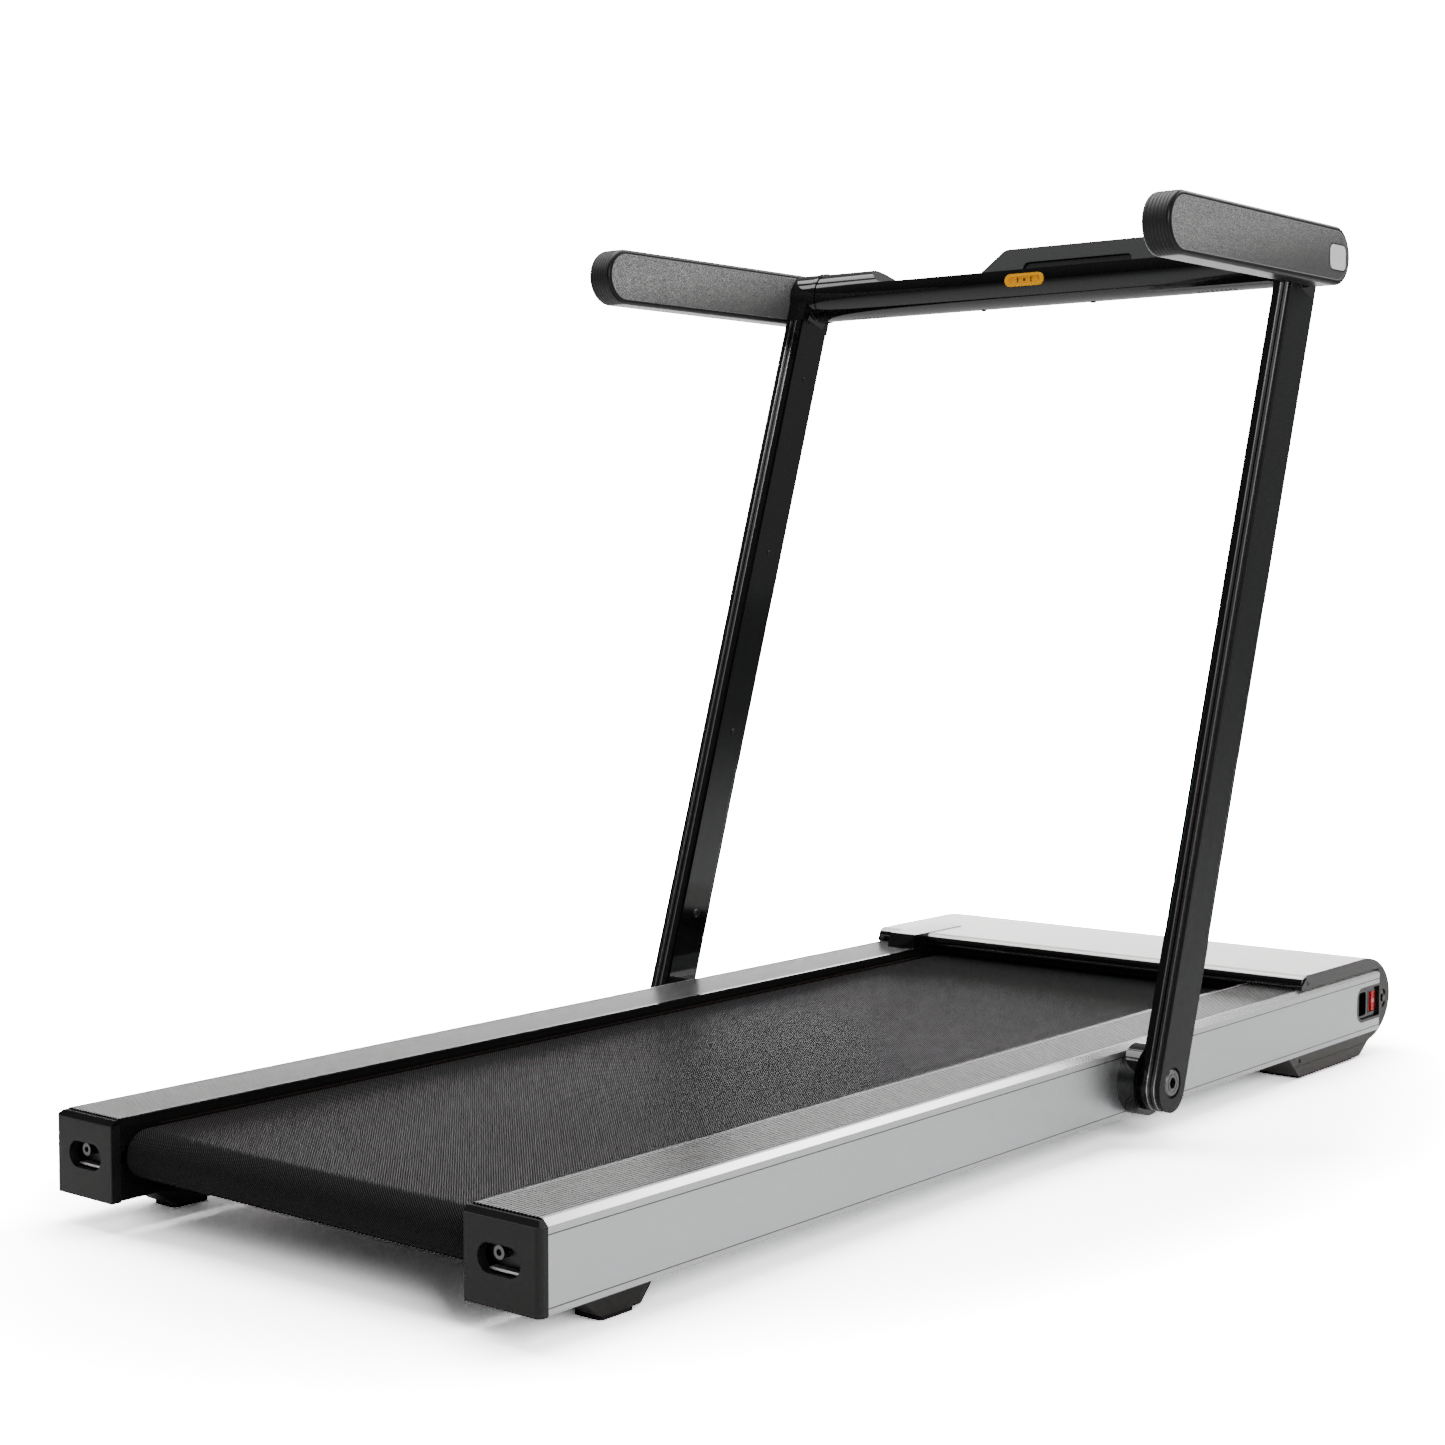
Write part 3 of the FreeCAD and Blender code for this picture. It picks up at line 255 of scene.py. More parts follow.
# %% [markdown]
# ## The rail's finish
# One shader carries all the bands. A smooth step on height or on distance from the middle picks
# each band out, and each is blended over the silver in turn.

# %% Rail finish
def rail_finish():
    skin = Finish("satin anodised aluminium", grey(0.60), 0.34, metal=1.0)
    lines = skin.noise(BRUSH_SCALE, 3.0, (1.0, 0.012, 1.0))
    clouds = skin.noise(6.0, 2.0)
    across = skin.x.size()
    on_top = skin.step(skin.z, RAIL_HIGH.z - 2.2 * MM, RAIL_HIGH.z - 1.2 * MM)
    tread = on_top * (across < TREAD_END)
    lip = skin.step(across, LIP_END + 0.6 * MM, LIP_END)
    chamfer = (across > CHAMFER_START) * (skin.z > CHAMFER_FOOT)
    side_line = (across < LINE_MOUTH) * (across > LINE_FLOOR) * (skin.z < CHAMFER_FOOT - 0.9 * MM)
    tone = 0.93 + lines * 0.08 + clouds * 0.06
    silver = skin.tinted(tone, (0.60, 0.61, 0.62))
    # Painted shade: groove floors near black; the tread a darker grey for the dark reflection of
    # its ribs.
    groove = skin.step(skin.z, RAIL_HIGH.z - 0.2 * MM, RAIL_HIGH.z - 0.7 * MM)
    painted_tread_shade = skin.blend(groove, grey(0.38), grey(0.01))
    colour = skin.blend(tread, silver, painted_tread_shade)
    # Painted highlight: the top chamfer is painted near white for the bright reflection along it.
    colour = skin.blend(chamfer, colour, grey(0.96))
    colour = skin.blend(side_line, colour, grey(0.08))
    # Painted highlight: a thin bright line along the lip's edge.
    painted_highlight_line = (across - LIP_END).size() < 0.5 * MM
    lip = lip * (1.0 - painted_highlight_line)
    colour = skin.blend(painted_highlight_line, colour, grey(0.90))
    skin.set("Base Color", skin.blend(lip, colour, grey(0.006)))
    skin.set("Metallic", 1.0 - lip)
    skin.set("Roughness", 0.31 + lines * 0.08 - lip * 0.24 - chamfer * 0.10)
    skin.bump(lines, 0.02 * MM, 0.5)
    return skin.material


RAIL_SKIN = rail_finish()
print("made", RAIL_SKIN.name)

# %% [markdown]
# ## Moulded plastics
# Moulds are etched so that the plastic comes out with a fine sand-like grain. One builder makes
# all of these finishes; only the colour, the gloss and the depth of the grain change.

# %% Moulded plastic
GRAIN_SCALE = 1400.0
GRAIN_DEPTH = 0.03 * MM


def moulded(name, colour, rough, grain=GRAIN_DEPTH, size=GRAIN_SCALE, shine=0.3):
    plastic = Finish(name, colour, rough, Specular_IOR_Level=shine)
    sand = plastic.noise(size, 3.0)
    wear = plastic.noise(9.0, 3.0)
    plastic.set("Roughness", rough - 0.06 + sand * 0.08 + wear * 0.05)
    plastic.set("Base Color", plastic.tinted(0.88 + wear * 0.24, colour))
    plastic.bump(sand, grain, 0.6)
    return plastic.material


NOSE_PLASTIC = moulded("warm dark grey moulding", grey(0.036, 0.07), 0.44)
GRIP_PLASTIC = moulded("soft black moulding", grey(0.005), 0.36)
RUBBER = moulded("black rubber", grey(0.010), 0.62, 0.05 * MM, 900.0)
POST_PAINT = moulded("matt charcoal powder coat", grey(0.011, -0.02), 0.40, 0.04 * MM, 1100.0, 0.2)
print("grain", round(1000 / GRAIN_SCALE, 2), "mm")

# %% [markdown]
# ## Gloss plastics
# The post covers, the console shell and the touch window come from polished moulds. Such plastic
# has no grain, but a faint long ripple bends what it reflects, and a little dust dulls it.

# %% Gloss plastic
def piano(name, colour, rough=0.07):
    """High-gloss black plastic: smooth, with a faint long ripple left by the mould."""
    gloss = Finish(name, colour, rough, Specular_IOR_Level=0.45)
    ripple = gloss.noise(22.0, 1.0)
    dust = gloss.noise(700.0, 4.0)
    gloss.set("Roughness", rough + gloss.step(dust, 0.58, 0.75) * 0.10)
    gloss.bump(ripple, 0.12 * MM, 0.35)
    return gloss.material


GLOSS_BLACK = piano("piano black", grey(0.004))
SMOKED_WINDOW = piano("smoked touch window", grey(0.003), 0.04)
print("made", GLOSS_BLACK.name)

# %% [markdown]
# ## Rear caps and feet
# The rear caps are grained all over but for the bevels along their top, which are polished, so
# height tells the two apart. The feet are one part in CAD: the small rear ones are dark and the
# long front fairings are lighter, so the sign of y tells them apart.

# %% Cap and foot finishes
CAP_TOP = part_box("rear_caps")[1].z


def rear_cap_finish():
    """Grained charcoal faces with polished bevels along the top."""
    cap = Finish("charcoal cap with polished bevels", grey(0.008, 0.06), 0.42,
                 Specular_IOR_Level=0.35)
    sand = cap.noise(GRAIN_SCALE, 3.0)
    polished = cap.step(cap.z, CAP_TOP - 4.6 * MM, CAP_TOP - 4.2 * MM)
    cap.set("Base Color", cap.blend(polished, grey(0.005, 0.06), grey(0.004)))
    cap.set("Roughness", 0.40 + sand * 0.08 - polished * 0.30)
    cap.bump(sand * (1.0 - polished), GRAIN_DEPTH, 0.6)
    return cap.material


def foot_finish():
    """Dark rear feet and lighter front fairings, both with the same warm grain."""
    foot = Finish("warm grey foot moulding", grey(0.04, 0.07), 0.46, Specular_IOR_Level=0.3)
    sand = foot.noise(GRAIN_SCALE, 3.0)
    foot.set("Base Color", foot.blend(foot.y > 0.0, grey(0.020, 0.07), grey(0.065, 0.07)))
    foot.set("Roughness", 0.42 + sand * 0.10)
    foot.bump(sand, GRAIN_DEPTH, 0.6)
    return foot.material


CAP_PLASTIC = rear_cap_finish()
FOOT_PLASTIC = foot_finish()
print("caps end at", round(CAP_TOP * 1000, 1), "mm")

# %% [markdown]
# ## The walking belt
# The belt is woven fabric coated with PVC, embossed with a close diamond weave whose rows run at 45
# degrees. A sine of x + y makes one set of ridges, and a weaker one of x - y parts each ridge into
# knots. Where the belt bends round a roller the same pattern is read from height.

# %% Belt finish
WEAVE_PITCH = 2.83 * MM
ROLL_STRETCH = 0.9


def belt_finish():
    belt = Finish("woven walking belt", grey(0.016), 0.55, Specular_IOR_Level=0.10)
    turn = math.pi / WEAVE_PITCH
    along = belt.y + belt.z * ROLL_STRETCH
    ridge = ((belt.x + along) * turn).sine().size()
    cross = ((belt.x - along) * turn).sine().size()
    knots = ridge * (0.55 + cross * 0.45)
    scuffs = belt.noise(7.0, 3.0)
    height = belt.step(knots, 0.1, 0.9)
    # Painted shade: the gaps between the knots are painted darker than the knots' tops.
    belt.set("Base Color", belt.blend(height, grey(0.0002), grey(0.016)))
    belt.set("Roughness", 0.90 - height * 0.50 + scuffs * 0.06)
    belt.bump(height, 1.2 * MM, 1.0)
    return belt.material


BELT_WEAVE = belt_finish()
print("rows of knots", round(WEAVE_PITCH * 1000 / math.sqrt(2), 2), "mm apart")

# %% [markdown]
# ## Metals
# Turned, plated and painted steel share one builder. Plated steel is bright and a little uneven;
# painted steel is the same thing with the metal turned off and a slightly pebbly skin.

# %% Plain metals
def metal(name, colour, rough, shine=1.0, pebble=0.015 * MM):
    steel = Finish(name, colour, rough, metal=shine)
    pits = steel.noise(1100.0, 3.0)
    smears = steel.noise(30.0, 3.0)
    steel.set("Roughness", rough - 0.05 + smears * 0.14)
    steel.set("Base Color", steel.tinted(0.90 + smears * 0.20, colour))
    steel.bump(pits, pebble, 0.5)
    return steel.material


STEEL = metal("plated steel", grey(0.34), 0.26)
DULL_STEEL = metal("dull dark steel", grey(0.15), 0.30)
BRONZE = metal("sintered bronze", (0.45, 0.30, 0.13), 0.45)
BLACK_STEEL = metal("black painted steel", grey(0.018), 0.38, 0.0, 0.04 * MM)
BLACK_SCREW = metal("black oxide screw", grey(0.05), 0.30, 0.8)
print("made", STEEL.name)

# %% [markdown]
# ## Post extrusions and take-up plates
# Each post's core shows as a narrow strip between its cover and its face. Its two long edges carry
# painted highlights, and a painted shadow line runs down the middle. A take-up plate is painted
# dark as shade, since it sits shadowed inside the rail, and its folded lip carries a painted
# highlight. Both finishes find their bands from the part's own box.

# %% Post and plate finishes
CORE_THICK = 9.5 * MM


def post_metal_finish():
    """Satin extrusion with painted highlights along its two long edges and a painted shadow line.
    """
    skin = Finish("satin post extrusion", grey(0.4), 0.28, metal=1.0)
    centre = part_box("post_cores")[1].x - CORE_THICK / 2
    off_centre = (skin.x.size() - centre).size()
    # Painted highlight along each of the two long edges.
    edge = skin.step(off_centre, CORE_THICK / 2 - 1.5 * MM, CORE_THICK / 2 - 0.9 * MM)
    lines = skin.noise(BRUSH_SCALE, 2.0, (1.0, 0.05, 0.02))
    # Painted shadow line down the middle.
    shadow = skin.step(off_centre, 1.0 * MM, 0.7 * MM)
    body = skin.blend(lines, grey(0.07), grey(0.12))
    colour = skin.blend(edge, body, grey(0.80))
    skin.set("Base Color", skin.blend(shadow, colour, grey(0.02)))
    skin.set("Roughness", 0.30 + lines * 0.1 - edge * 0.1)
    skin.bump(lines, 0.02 * MM, 0.5)
    return skin.material


def thrust_plate_finish():
    """Steel painted dark as shade, with a painted highlight on its folded lip."""
    plate = Finish("dark thrust plate", grey(0.08), 0.36, metal=1.0)
    low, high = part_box("take_up_plates")
    lip = (plate.z < low.z + 12 * MM) * (plate.y < high.y - 4 * MM)
    smears = plate.noise(60.0, 3.0)
    # Painted shade darkens the plate, which sits shadowed inside the rail; a painted highlight
    # brightens its lip.
    plate.set("Base Color", plate.blend(lip, grey(0.05), grey(0.85)))
    plate.set("Roughness", 0.30 + smears * 0.2)
    return plate.material


POST_METAL = post_metal_finish()
THRUST_PLATE = thrust_plate_finish()
print("made", POST_METAL.name, "and", THRUST_PLATE.name)

# %% [markdown]
# ## The motor cover
# The cover is a thin pressed plate in a pale, warm, satin silver. Its brushing runs across the
# machine. It rolls down at the rear edge and darkens there, because a gloss black band lies
# along the roll.

# %% Cover finish
def cover_finish():
    plate = Finish("pale warm satin plate", grey(0.56, 0.02), 0.36, metal=0.35)
    low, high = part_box("cover_plate")
    brushing = plate.noise(700.0, 3.0, (0.02, 1.0, 1.0))
    band = plate.step(plate.z, high.z - 3.4 * MM, high.z - 4.2 * MM) * (plate.y < low.y + 12 * MM)
    pale = plate.tinted(0.94 + brushing * 0.12, (0.93, 0.915, 0.89))
    plate.set("Base Color", plate.blend(band, pale, grey(0.006)))
    plate.set("Metallic", 0.35 - band * 0.35)
    plate.set("Roughness", 0.26 + brushing * 0.08 - band * 0.18)
    plate.bump(brushing, 0.015 * MM, 0.4)
    return plate.material


COVER_SKIN = cover_finish()
print("made", COVER_SKIN.name)

# %% [markdown]
# ## Apron and front end caps
# Under the cover's edge stands a gloss black wall with one painted highlight line along it. The
# caps at the sides are grained below and gloss where they rise above the rail. A narrow step on
# height makes both changes.

# %% Apron and end cap finishes
HIGHLIGHT_LINE_HEIGHT = RAIL_HIGH.z + 2.2 * MM


def apron_finish():
    """Gloss black wall with one painted highlight line along it."""
    wall = Finish("gloss apron with a bright bead", grey(0.004), 0.08)
    painted_highlight_line = wall.step((wall.z - HIGHLIGHT_LINE_HEIGHT).size(), 1.75 * MM, 1.6 * MM)
    painted_highlight_line = painted_highlight_line * (wall.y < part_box("cover_apron")[0].y + 1.4 * MM)
    # Painted highlight: a thin bright line along the wall's edge.
    wall.set("Base Color", wall.blend(painted_highlight_line, grey(0.004), grey(0.85)))
    wall.set("Metallic", painted_highlight_line)
    wall.set("Roughness", 0.07 + wall.noise(40.0) * 0.04 + painted_highlight_line * 0.08)
    return wall.material


def end_cap_finish():
    """Grained dark grey below, gloss dark grey where the cap rises above the rail."""
    cap = Finish("front end cap", grey(0.036, 0.07), 0.44, Specular_IOR_Level=0.4)
    sand = cap.noise(GRAIN_SCALE, 3.0)
    gloss = cap.step(cap.z, RAIL_HIGH.z + 0.3 * MM, RAIL_HIGH.z + 0.8 * MM)
    cap.set("Base Color", cap.blend(gloss, grey(0.040, 0.07), grey(0.010, 0.03)))
    cap.set("Roughness", 0.40 + sand * 0.08 - gloss * 0.26)
    cap.bump(sand * (1.0 - gloss), GRAIN_DEPTH, 0.6)
    return cap.material


APRON_GLOSS = apron_finish()
END_CAP = end_cap_finish()
print("made", APRON_GLOSS.name, "and", END_CAP.name)

# %% [markdown]
# ## Tablet tray
# The tray leans back, and the floor of its long recess is painted black as shade. To find that
# floor, height and depth are turned by the tray's lean, so they run along the tray and into it.

# %% Tray finish
TRAY_LEAN = 13.0
TRAY_FOOT_Y = HANDRAIL_PIVOT[1] + 80 * MM
RECESS_HALF = 75.2 * MM
RECESS_LOW, RECESS_HIGH = 15 * MM, 33 * MM


def tray_finish():
    """Grained dark grey, with the floor of the long recess painted black as shade."""
    tray = Finish("dark grey tray", grey(0.050, -0.02), 0.45, Specular_IOR_Level=0.3)
    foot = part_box("tablet_tray")[0].z
    sand = tray.noise(GRAIN_SCALE, 3.0)
    lean = math.radians(TRAY_LEAN)
    rise = (tray.z - foot) * math.cos(lean) + (tray.y - TRAY_FOOT_Y) * math.sin(lean)
    depth = (tray.y - TRAY_FOOT_Y) * math.cos(lean) - (tray.z - foot) * math.sin(lean)
    floor = (depth > 1.5 * MM) * (depth < 2.5 * MM) * (tray.x.size() < RECESS_HALF)
    floor = floor * (rise > RECESS_LOW) * (rise < RECESS_HIGH)
    # Painted shade: the floor of the deep recess is painted near black.
    tray.set("Base Color", tray.blend(floor, grey(0.048, -0.02), grey(0.003)))
    tray.set("Roughness", 0.40 + sand * 0.10)
    tray.bump(sand, GRAIN_DEPTH, 0.6)
    return tray.material


TRAY_SKIN = tray_finish()
print("tray leans", TRAY_LEAN, "degrees")

# %% [markdown]
# ## Receiver pod
# A small gloss box sits on the left rail. Its lid is painted pale as a reflection of the light
# above, with a satin gloss, and its sides are black.

# %% Pod finish
def pod_finish():
    """Gloss black sides under a lid painted pale as a reflection."""
    pod = Finish("gloss pod with a pale lid", grey(0.004), 0.08)
    painted_lid_reflection = pod.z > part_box("receiver_pod")[1].z - 0.4 * MM
    # Painted reflection: the lid is painted near white for the light its glossy top reflects.
    pod.set("Base Color", pod.blend(painted_lid_reflection, grey(0.004), grey(0.90)))
    pod.set("Roughness", 0.08 + painted_lid_reflection * 0.22 + pod.noise(60.0) * 0.04)
    return pod.material


POD_SKIN = pod_finish()
print("made", POD_SKIN.name)

# %% [markdown]
# ## Speckled handrail panels
# Each handrail carries a grey panel with a fine metallic speckle, edged by a thin bright line, and
# a rubber band round its rear end. Panel and band are one CAD node, so the finish tells them apart
# by how far a point lies from the handrail's middle line.

# %% The handrail's middle line
GRIP_RADIUS = (GRIP_HIGH.z - GRIP_LOW.z) / 2
GRIP_REAR = GRIP_LOW.y + GRIP_RADIUS
GRIP_FRONT = GRIP_HIGH.y - GRIP_RADIUS
GRIP_Z = (GRIP_HIGH.z + GRIP_LOW.z) / 2
GRIP_MIDDLE = (GRIP_REAR + GRIP_FRONT) / 2
GRIP_HALF = (GRIP_FRONT - GRIP_REAR) / 2
PANEL_INSET = 5 * MM
print("handrail half height", round(GRIP_RADIUS * 1000, 1), "mm")

# %% [markdown]
# ## The panel's finish
# Distance from the middle line gives the rim and the band. Two noises make the speckle, and painted
# shading, lighter high at the rear and darker low at the front, stands for how light falls on it.

# %% Handrail panel finish
PANEL_SLOPE = 0.16


def panel_finish():
    panel = Finish("speckled grey panel", grey(0.16), 0.42)
    reach = ((panel.y - GRIP_MIDDLE).size() - GRIP_HALF).larger(0.0)
    rise = panel.z - GRIP_Z
    away = (reach * reach + rise * rise).root()
    edge = GRIP_RADIUS - PANEL_INSET
    flecks = panel.noise(900.0, 1.0)
    fine = panel.noise(420.0, 3.0)
    lengthways = (panel.y - GRIP_MIDDLE) * PANEL_SLOPE
    # Painted light and shade: lighter high at the rear, darker low at the front of the rounded
    # panel.
    light = panel.step(rise - lengthways, -1.5 * edge, 1.1 * edge)
    speckle = panel.step(flecks, 0.40, 0.66)
    tone = panel.blend(speckle, grey(0.08), grey(0.52))
    tone = panel.blend(panel.step(fine, 0.48, 0.70) * 0.45, tone, grey(0.10))
    tone = panel.blend((1.0 - light) * 0.85, tone, grey(0.05))
    rim = panel.step(away, edge - 1.1 * MM, edge - 0.7 * MM)
    band = (away > edge + 0.4 * MM) + 0.0
    tone = panel.blend(rim, tone, grey(0.60))
    panel.set("Base Color", panel.blend(band, tone, grey(0.010)))
    panel.set("Roughness", 0.44 - rim * 0.20 + band * 0.30)
    panel.set("Metallic", (rim - band).larger(0.0) * 0.9)
    panel.bump(flecks, 0.05 * MM, 0.6)
    return panel.material


PANEL_SKIN = panel_finish()
print("made", PANEL_SKIN.name)

# %% [markdown]
# ## Coloured and inner parts
# The safety key is amber and the mains rocker is red, both with a glossy skin. The deck board and
# the circuit boards show only when the covers are off, but each still has a real finish.

# %% Coloured finishes
def glossy_colour(name, colour, rough):
    shell = Finish(name, colour, rough, Coat_Weight=0.4, Coat_Roughness=0.08)
    cloud = shell.noise(60.0, 2.0)
    shell.set("Roughness", rough + cloud * 0.08)
    shell.set("Base Color", shell.tinted(0.92 + cloud * 0.16, colour))
    shell.bump(shell.noise(900.0, 2.0), 0.01 * MM, 0.4)
    return shell.material


def board_finish():
    """Fibreboard deck: short fibres all ways, with a waxed top."""
    board = Finish("waxed fibreboard", (0.16, 0.11, 0.07), 0.5)
    fibres = board.noise(260.0, 5.0, (1.0, 0.3, 1.0))
    board.set("Base Color", board.blend(fibres, (0.07, 0.045, 0.025), (0.24, 0.17, 0.11)))
    board.set("Roughness", 0.40 + fibres * 0.2)
    board.bump(fibres, 0.05 * MM, 0.5)
    return board.material


AMBER = glossy_colour("amber plastic", (0.95, 0.42, 0.002), 0.30)
KEY_BROWN = glossy_colour("brown key marks", (0.09, 0.035, 0.003), 0.4)
SWITCH_RED = glossy_colour("red rocker plastic", (0.60, 0.008, 0.014), 0.18)
CIRCUIT_GREEN = glossy_colour("green circuit board", (0.02, 0.10, 0.05), 0.35)
TAG_WHITE = glossy_colour("white enamel tag", (1.0, 1.0, 0.99), 0.35)
MARK_WHITE = glossy_colour("white printed mark", (0.80, 0.80, 0.80), 0.40)
FIBREBOARD = board_finish()
print("made", len(bpy.data.materials), "materials")

# %% [markdown]
# ## Which part gets which finish
# The table below is the machine's paint list. A CAD part keeps its shape and place and only has
# its material slots filled.

# %% Give every part its finish
PAINT_LIST = {
    RAIL_SKIN: ["rail_right", "rail_left"],
    CAP_PLASTIC: ["rear_caps"],
    THRUST_PLATE: ["take_up_plates"],
    DULL_STEEL: ["take_up_bolt_right", "take_up_bolt_left", "pivot_bolts"],
    STEEL: ["roller_axles", "rear_bearings", "front_bearings", "wheel_forks", "motor_shaft",
            "flywheel", "motor_pulley", "pivot_blocks", "hinge_pins", "handrail_spine_right",
            "handrail_spine_left"],
    BLACK_STEEL: ["rear_roller", "front_roller", "roller_pulley", "cross_members", "belly_pan",
                  "motor_case"],
    BELT_WEAVE: ["walking_belt"],
    FIBREBOARD: ["deck_board"],
    RUBBER: ["deck_cushions", "foot_pads", "wheel_right", "wheel_left", "drive_belt"],
    FOOT_PLASTIC: ["feet"],
    COVER_SKIN: ["cover_plate"],
    APRON_GLOSS: ["cover_apron"],
    POD_SKIN: ["receiver_pod"],
    GLOSS_BLACK: ["inlet_module", "breaker_button", "pivot_bosses",
                  "post_covers", "post_heads", "console_shell", "console_collars"],
    NOSE_PLASTIC: ["nose_shell"],
    END_CAP: ["end_cap_right", "end_cap_left"],
    CIRCUIT_GREEN: ["control_board", "console_electronics"],
    POST_METAL: ["post_cores", "board_parts"],
    SWITCH_RED: ["power_rocker"],
    BRONZE: ["post_bushes"],
    POST_PAINT: ["post_faces"],
    SMOKED_WINDOW: ["display_panel"],
    BLACK_SCREW: ["frame_screws"],
    AMBER: ["safety_key"],
    TRAY_SKIN: ["tablet_tray"],
    GRIP_PLASTIC: ["handrail_core_right", "handrail_core_left"],
    PANEL_SKIN: ["grip_trim_right", "grip_trim_left"],
}


def paint(node, material):
    slots = NODES[node].data.materials
    slots.clear()
    slots.append(material)


for material, names in PAINT_LIST.items():
    for name in names:
        paint(name, material)
unpainted = set(NODES) - {name for names in PAINT_LIST.values() for name in names}
assert not unpainted, unpainted
print("painted", len(NODES), "parts")

# %% [markdown]
# ## Geometry Nodes, written as calls
# Screws, ribs, plugs and rings repeat, so each kind is one small node tree that copies a shape
# onto points. The tree's sizes are named inputs. A tree ends with real geometry and its material,
# and the result is kept as a plain mesh that rides on one body.

# %% Keeping a finished mesh
def keep(name, mesh, body):
    """Puts a finished mesh in the scene and lets it ride on a body."""
    mesh.name = name
    piece = bpy.data.objects.new(name, mesh)
    bpy.context.scene.collection.objects.link(piece)
    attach(piece, body)
    print(name, len(mesh.polygons), "faces, rides on", body)
    return piece


def seed_points(points, edges=()):
    mesh = bpy.data.meshes.new("seed")
    mesh.from_pydata([tuple(point) for point in points], list(edges), [])
    return mesh


print("seeds ready")

# %% [markdown]
# ## A recipe
# The class below holds one node tree. `given` has its named inputs, `close` finishes it, and
# `make` runs it on a seed mesh. Its sizes are written before it is first evaluated.

# %% A recipe for repeated shapes
class Recipe(Bench):
    """A Geometry Nodes tree, built one call at a time."""

    def __init__(self, name, sizes):
        super().__init__(bpy.data.node_groups.new(name, "GeometryNodeTree"))
        face = self.tree.interface
        face.new_socket("Geometry", in_out="INPUT", socket_type="NodeSocketGeometry")
        for label, value in sizes.items():
            kind = "NodeSocketInt" if isinstance(value, int) else "NodeSocketFloat"
            face.new_socket(label, in_out="INPUT", socket_type=kind).default_value = value
        face.new_socket("Geometry", in_out="OUTPUT", socket_type="NodeSocketGeometry")
        given = self.tree.nodes.new("NodeGroupInput").outputs
        self.given = {socket.name: Wire(self.tree, socket) for socket in given if socket.name}
        self.result = self.tree.nodes.new("NodeGroupOutput").inputs[0]

    def close(self, geometry, material):
        self.material = material
        real = self.node("GeometryNodeRealizeInstances", {}, {0: geometry})
        painted = self.node("GeometryNodeSetMaterial", {}, {0: real, "Material": material})
        self.feed(painted, self.result)

    def make(self, name, seed, body, **sizes):
        """Runs the tree on a seed mesh and keeps the result as a plain mesh on a body."""
        holder = bpy.data.objects.new(name + "_seed", seed)
        bpy.context.scene.collection.objects.link(holder)
        modifier = holder.modifiers.new("recipe", "NODES")
        modifier.node_group = self.tree
        for item in self.tree.interface.items_tree:
            label = item.name.replace(" ", "_").lower()
            if item.in_out == "INPUT" and label in sizes:
                modifier[item.identifier] = sizes[label]
        evaluated = holder.evaluated_get(bpy.context.evaluated_depsgraph_get())
        mesh = bpy.data.meshes.new_from_object(evaluated)
        mesh.materials.clear()
        mesh.materials.append(self.material)
        holder.modifiers.remove(modifier)
        bpy.data.objects.remove(holder)
        return keep(name, mesh, body)


print("recipes ready")

# %% [markdown]
# ## Screws
# Every visible screw is a low socket head: a disc with a sloped rim and a six-sided hole. A cone
# with its top cut off makes the head, and a six-sided prism is taken out of it. Each point says
# which way its screw faces and how large it is.

# %% The screw's tree
SCREW_SIDES = 28
HOLE_RISE = 0.58


def screw_recipe():
    recipe = Recipe("socket_screws", {"Head height": 0.30, "Socket size": 0.50})
    given = recipe.given
    head = recipe.node("GeometryNodeMeshCone", {},
                       {"Vertices": SCREW_SIDES, "Radius Top": 0.78, "Radius Bottom": 1.0,
                        "Depth": given["Head height"]})
    hole = recipe.node("GeometryNodeMeshCylinder", {},
                       {"Vertices": 6, "Radius": given["Socket size"], "Depth": 1.0})
    hole = recipe.node("GeometryNodeTransform", {}, {0: hole, "Translation": (0.0, 0.0, HOLE_RISE)})
    head = recipe.node("GeometryNodeMeshBoolean", {"operation": "DIFFERENCE", "solver": "EXACT"},
                       {0: head, 1: hole})
    facing = recipe.node("GeometryNodeInputNamedAttribute", {"data_type": "FLOAT_VECTOR"},
                         {"Name": "facing"})
    turn = recipe.node("FunctionNodeAlignRotationToVector", {"axis": "Z"}, {"Vector": facing})
    radius = recipe.node("GeometryNodeInputNamedAttribute", {"data_type": "FLOAT"},
                         {"Name": "head_radius"})
    copies = recipe.node("GeometryNodeInstanceOnPoints", {},
                         {"Points": given["Geometry"], "Instance": head, "Rotation": turn,
                          "Scale": radius})
    recipe.close(copies, BLACK_SCREW)
    return recipe


SCREWS = screw_recipe()
print("screw heads with", SCREW_SIDES, "sides")

# %% [markdown]
# ## Where the screws sit
# A screw's place, direction and size travel as a point with two named attributes. CAD has the post
# and console screws as plain discs in one part, so its corners are grouped into discs again, and
# the box of each gives one point.

# %% Points for the screws
DISC_REACH = 14 * MM
THIN_DISC = 2 * MM


def screw_seed(screws):
    """Points from (place, facing, head radius) rows."""
    mesh = seed_points([screw[0] for screw in screws])
    mesh.attributes.new("facing", "FLOAT_VECTOR", "POINT")
    mesh.attributes.new("head_radius", "FLOAT", "POINT")
    for i, (place, facing, radius) in enumerate(screws):
        mesh.attributes["facing"].data[i].vector = facing
        mesh.attributes["head_radius"].data[i].value = radius
    return mesh


def separate_discs(node, reach):
    """Groups the corners of a part made of several small discs, and gives each group's box."""
    groups = []
    for vertex in NODES[node].data.vertices:
        for group in groups:
            if (vertex.co - group[0]).length < reach:
                group.append(vertex.co)
                break
        else:
            groups.append([vertex.co])
    return [[[pick(corner[i] for corner in group) for i in range(3)] for pick in (min, max)]
            for group in groups]


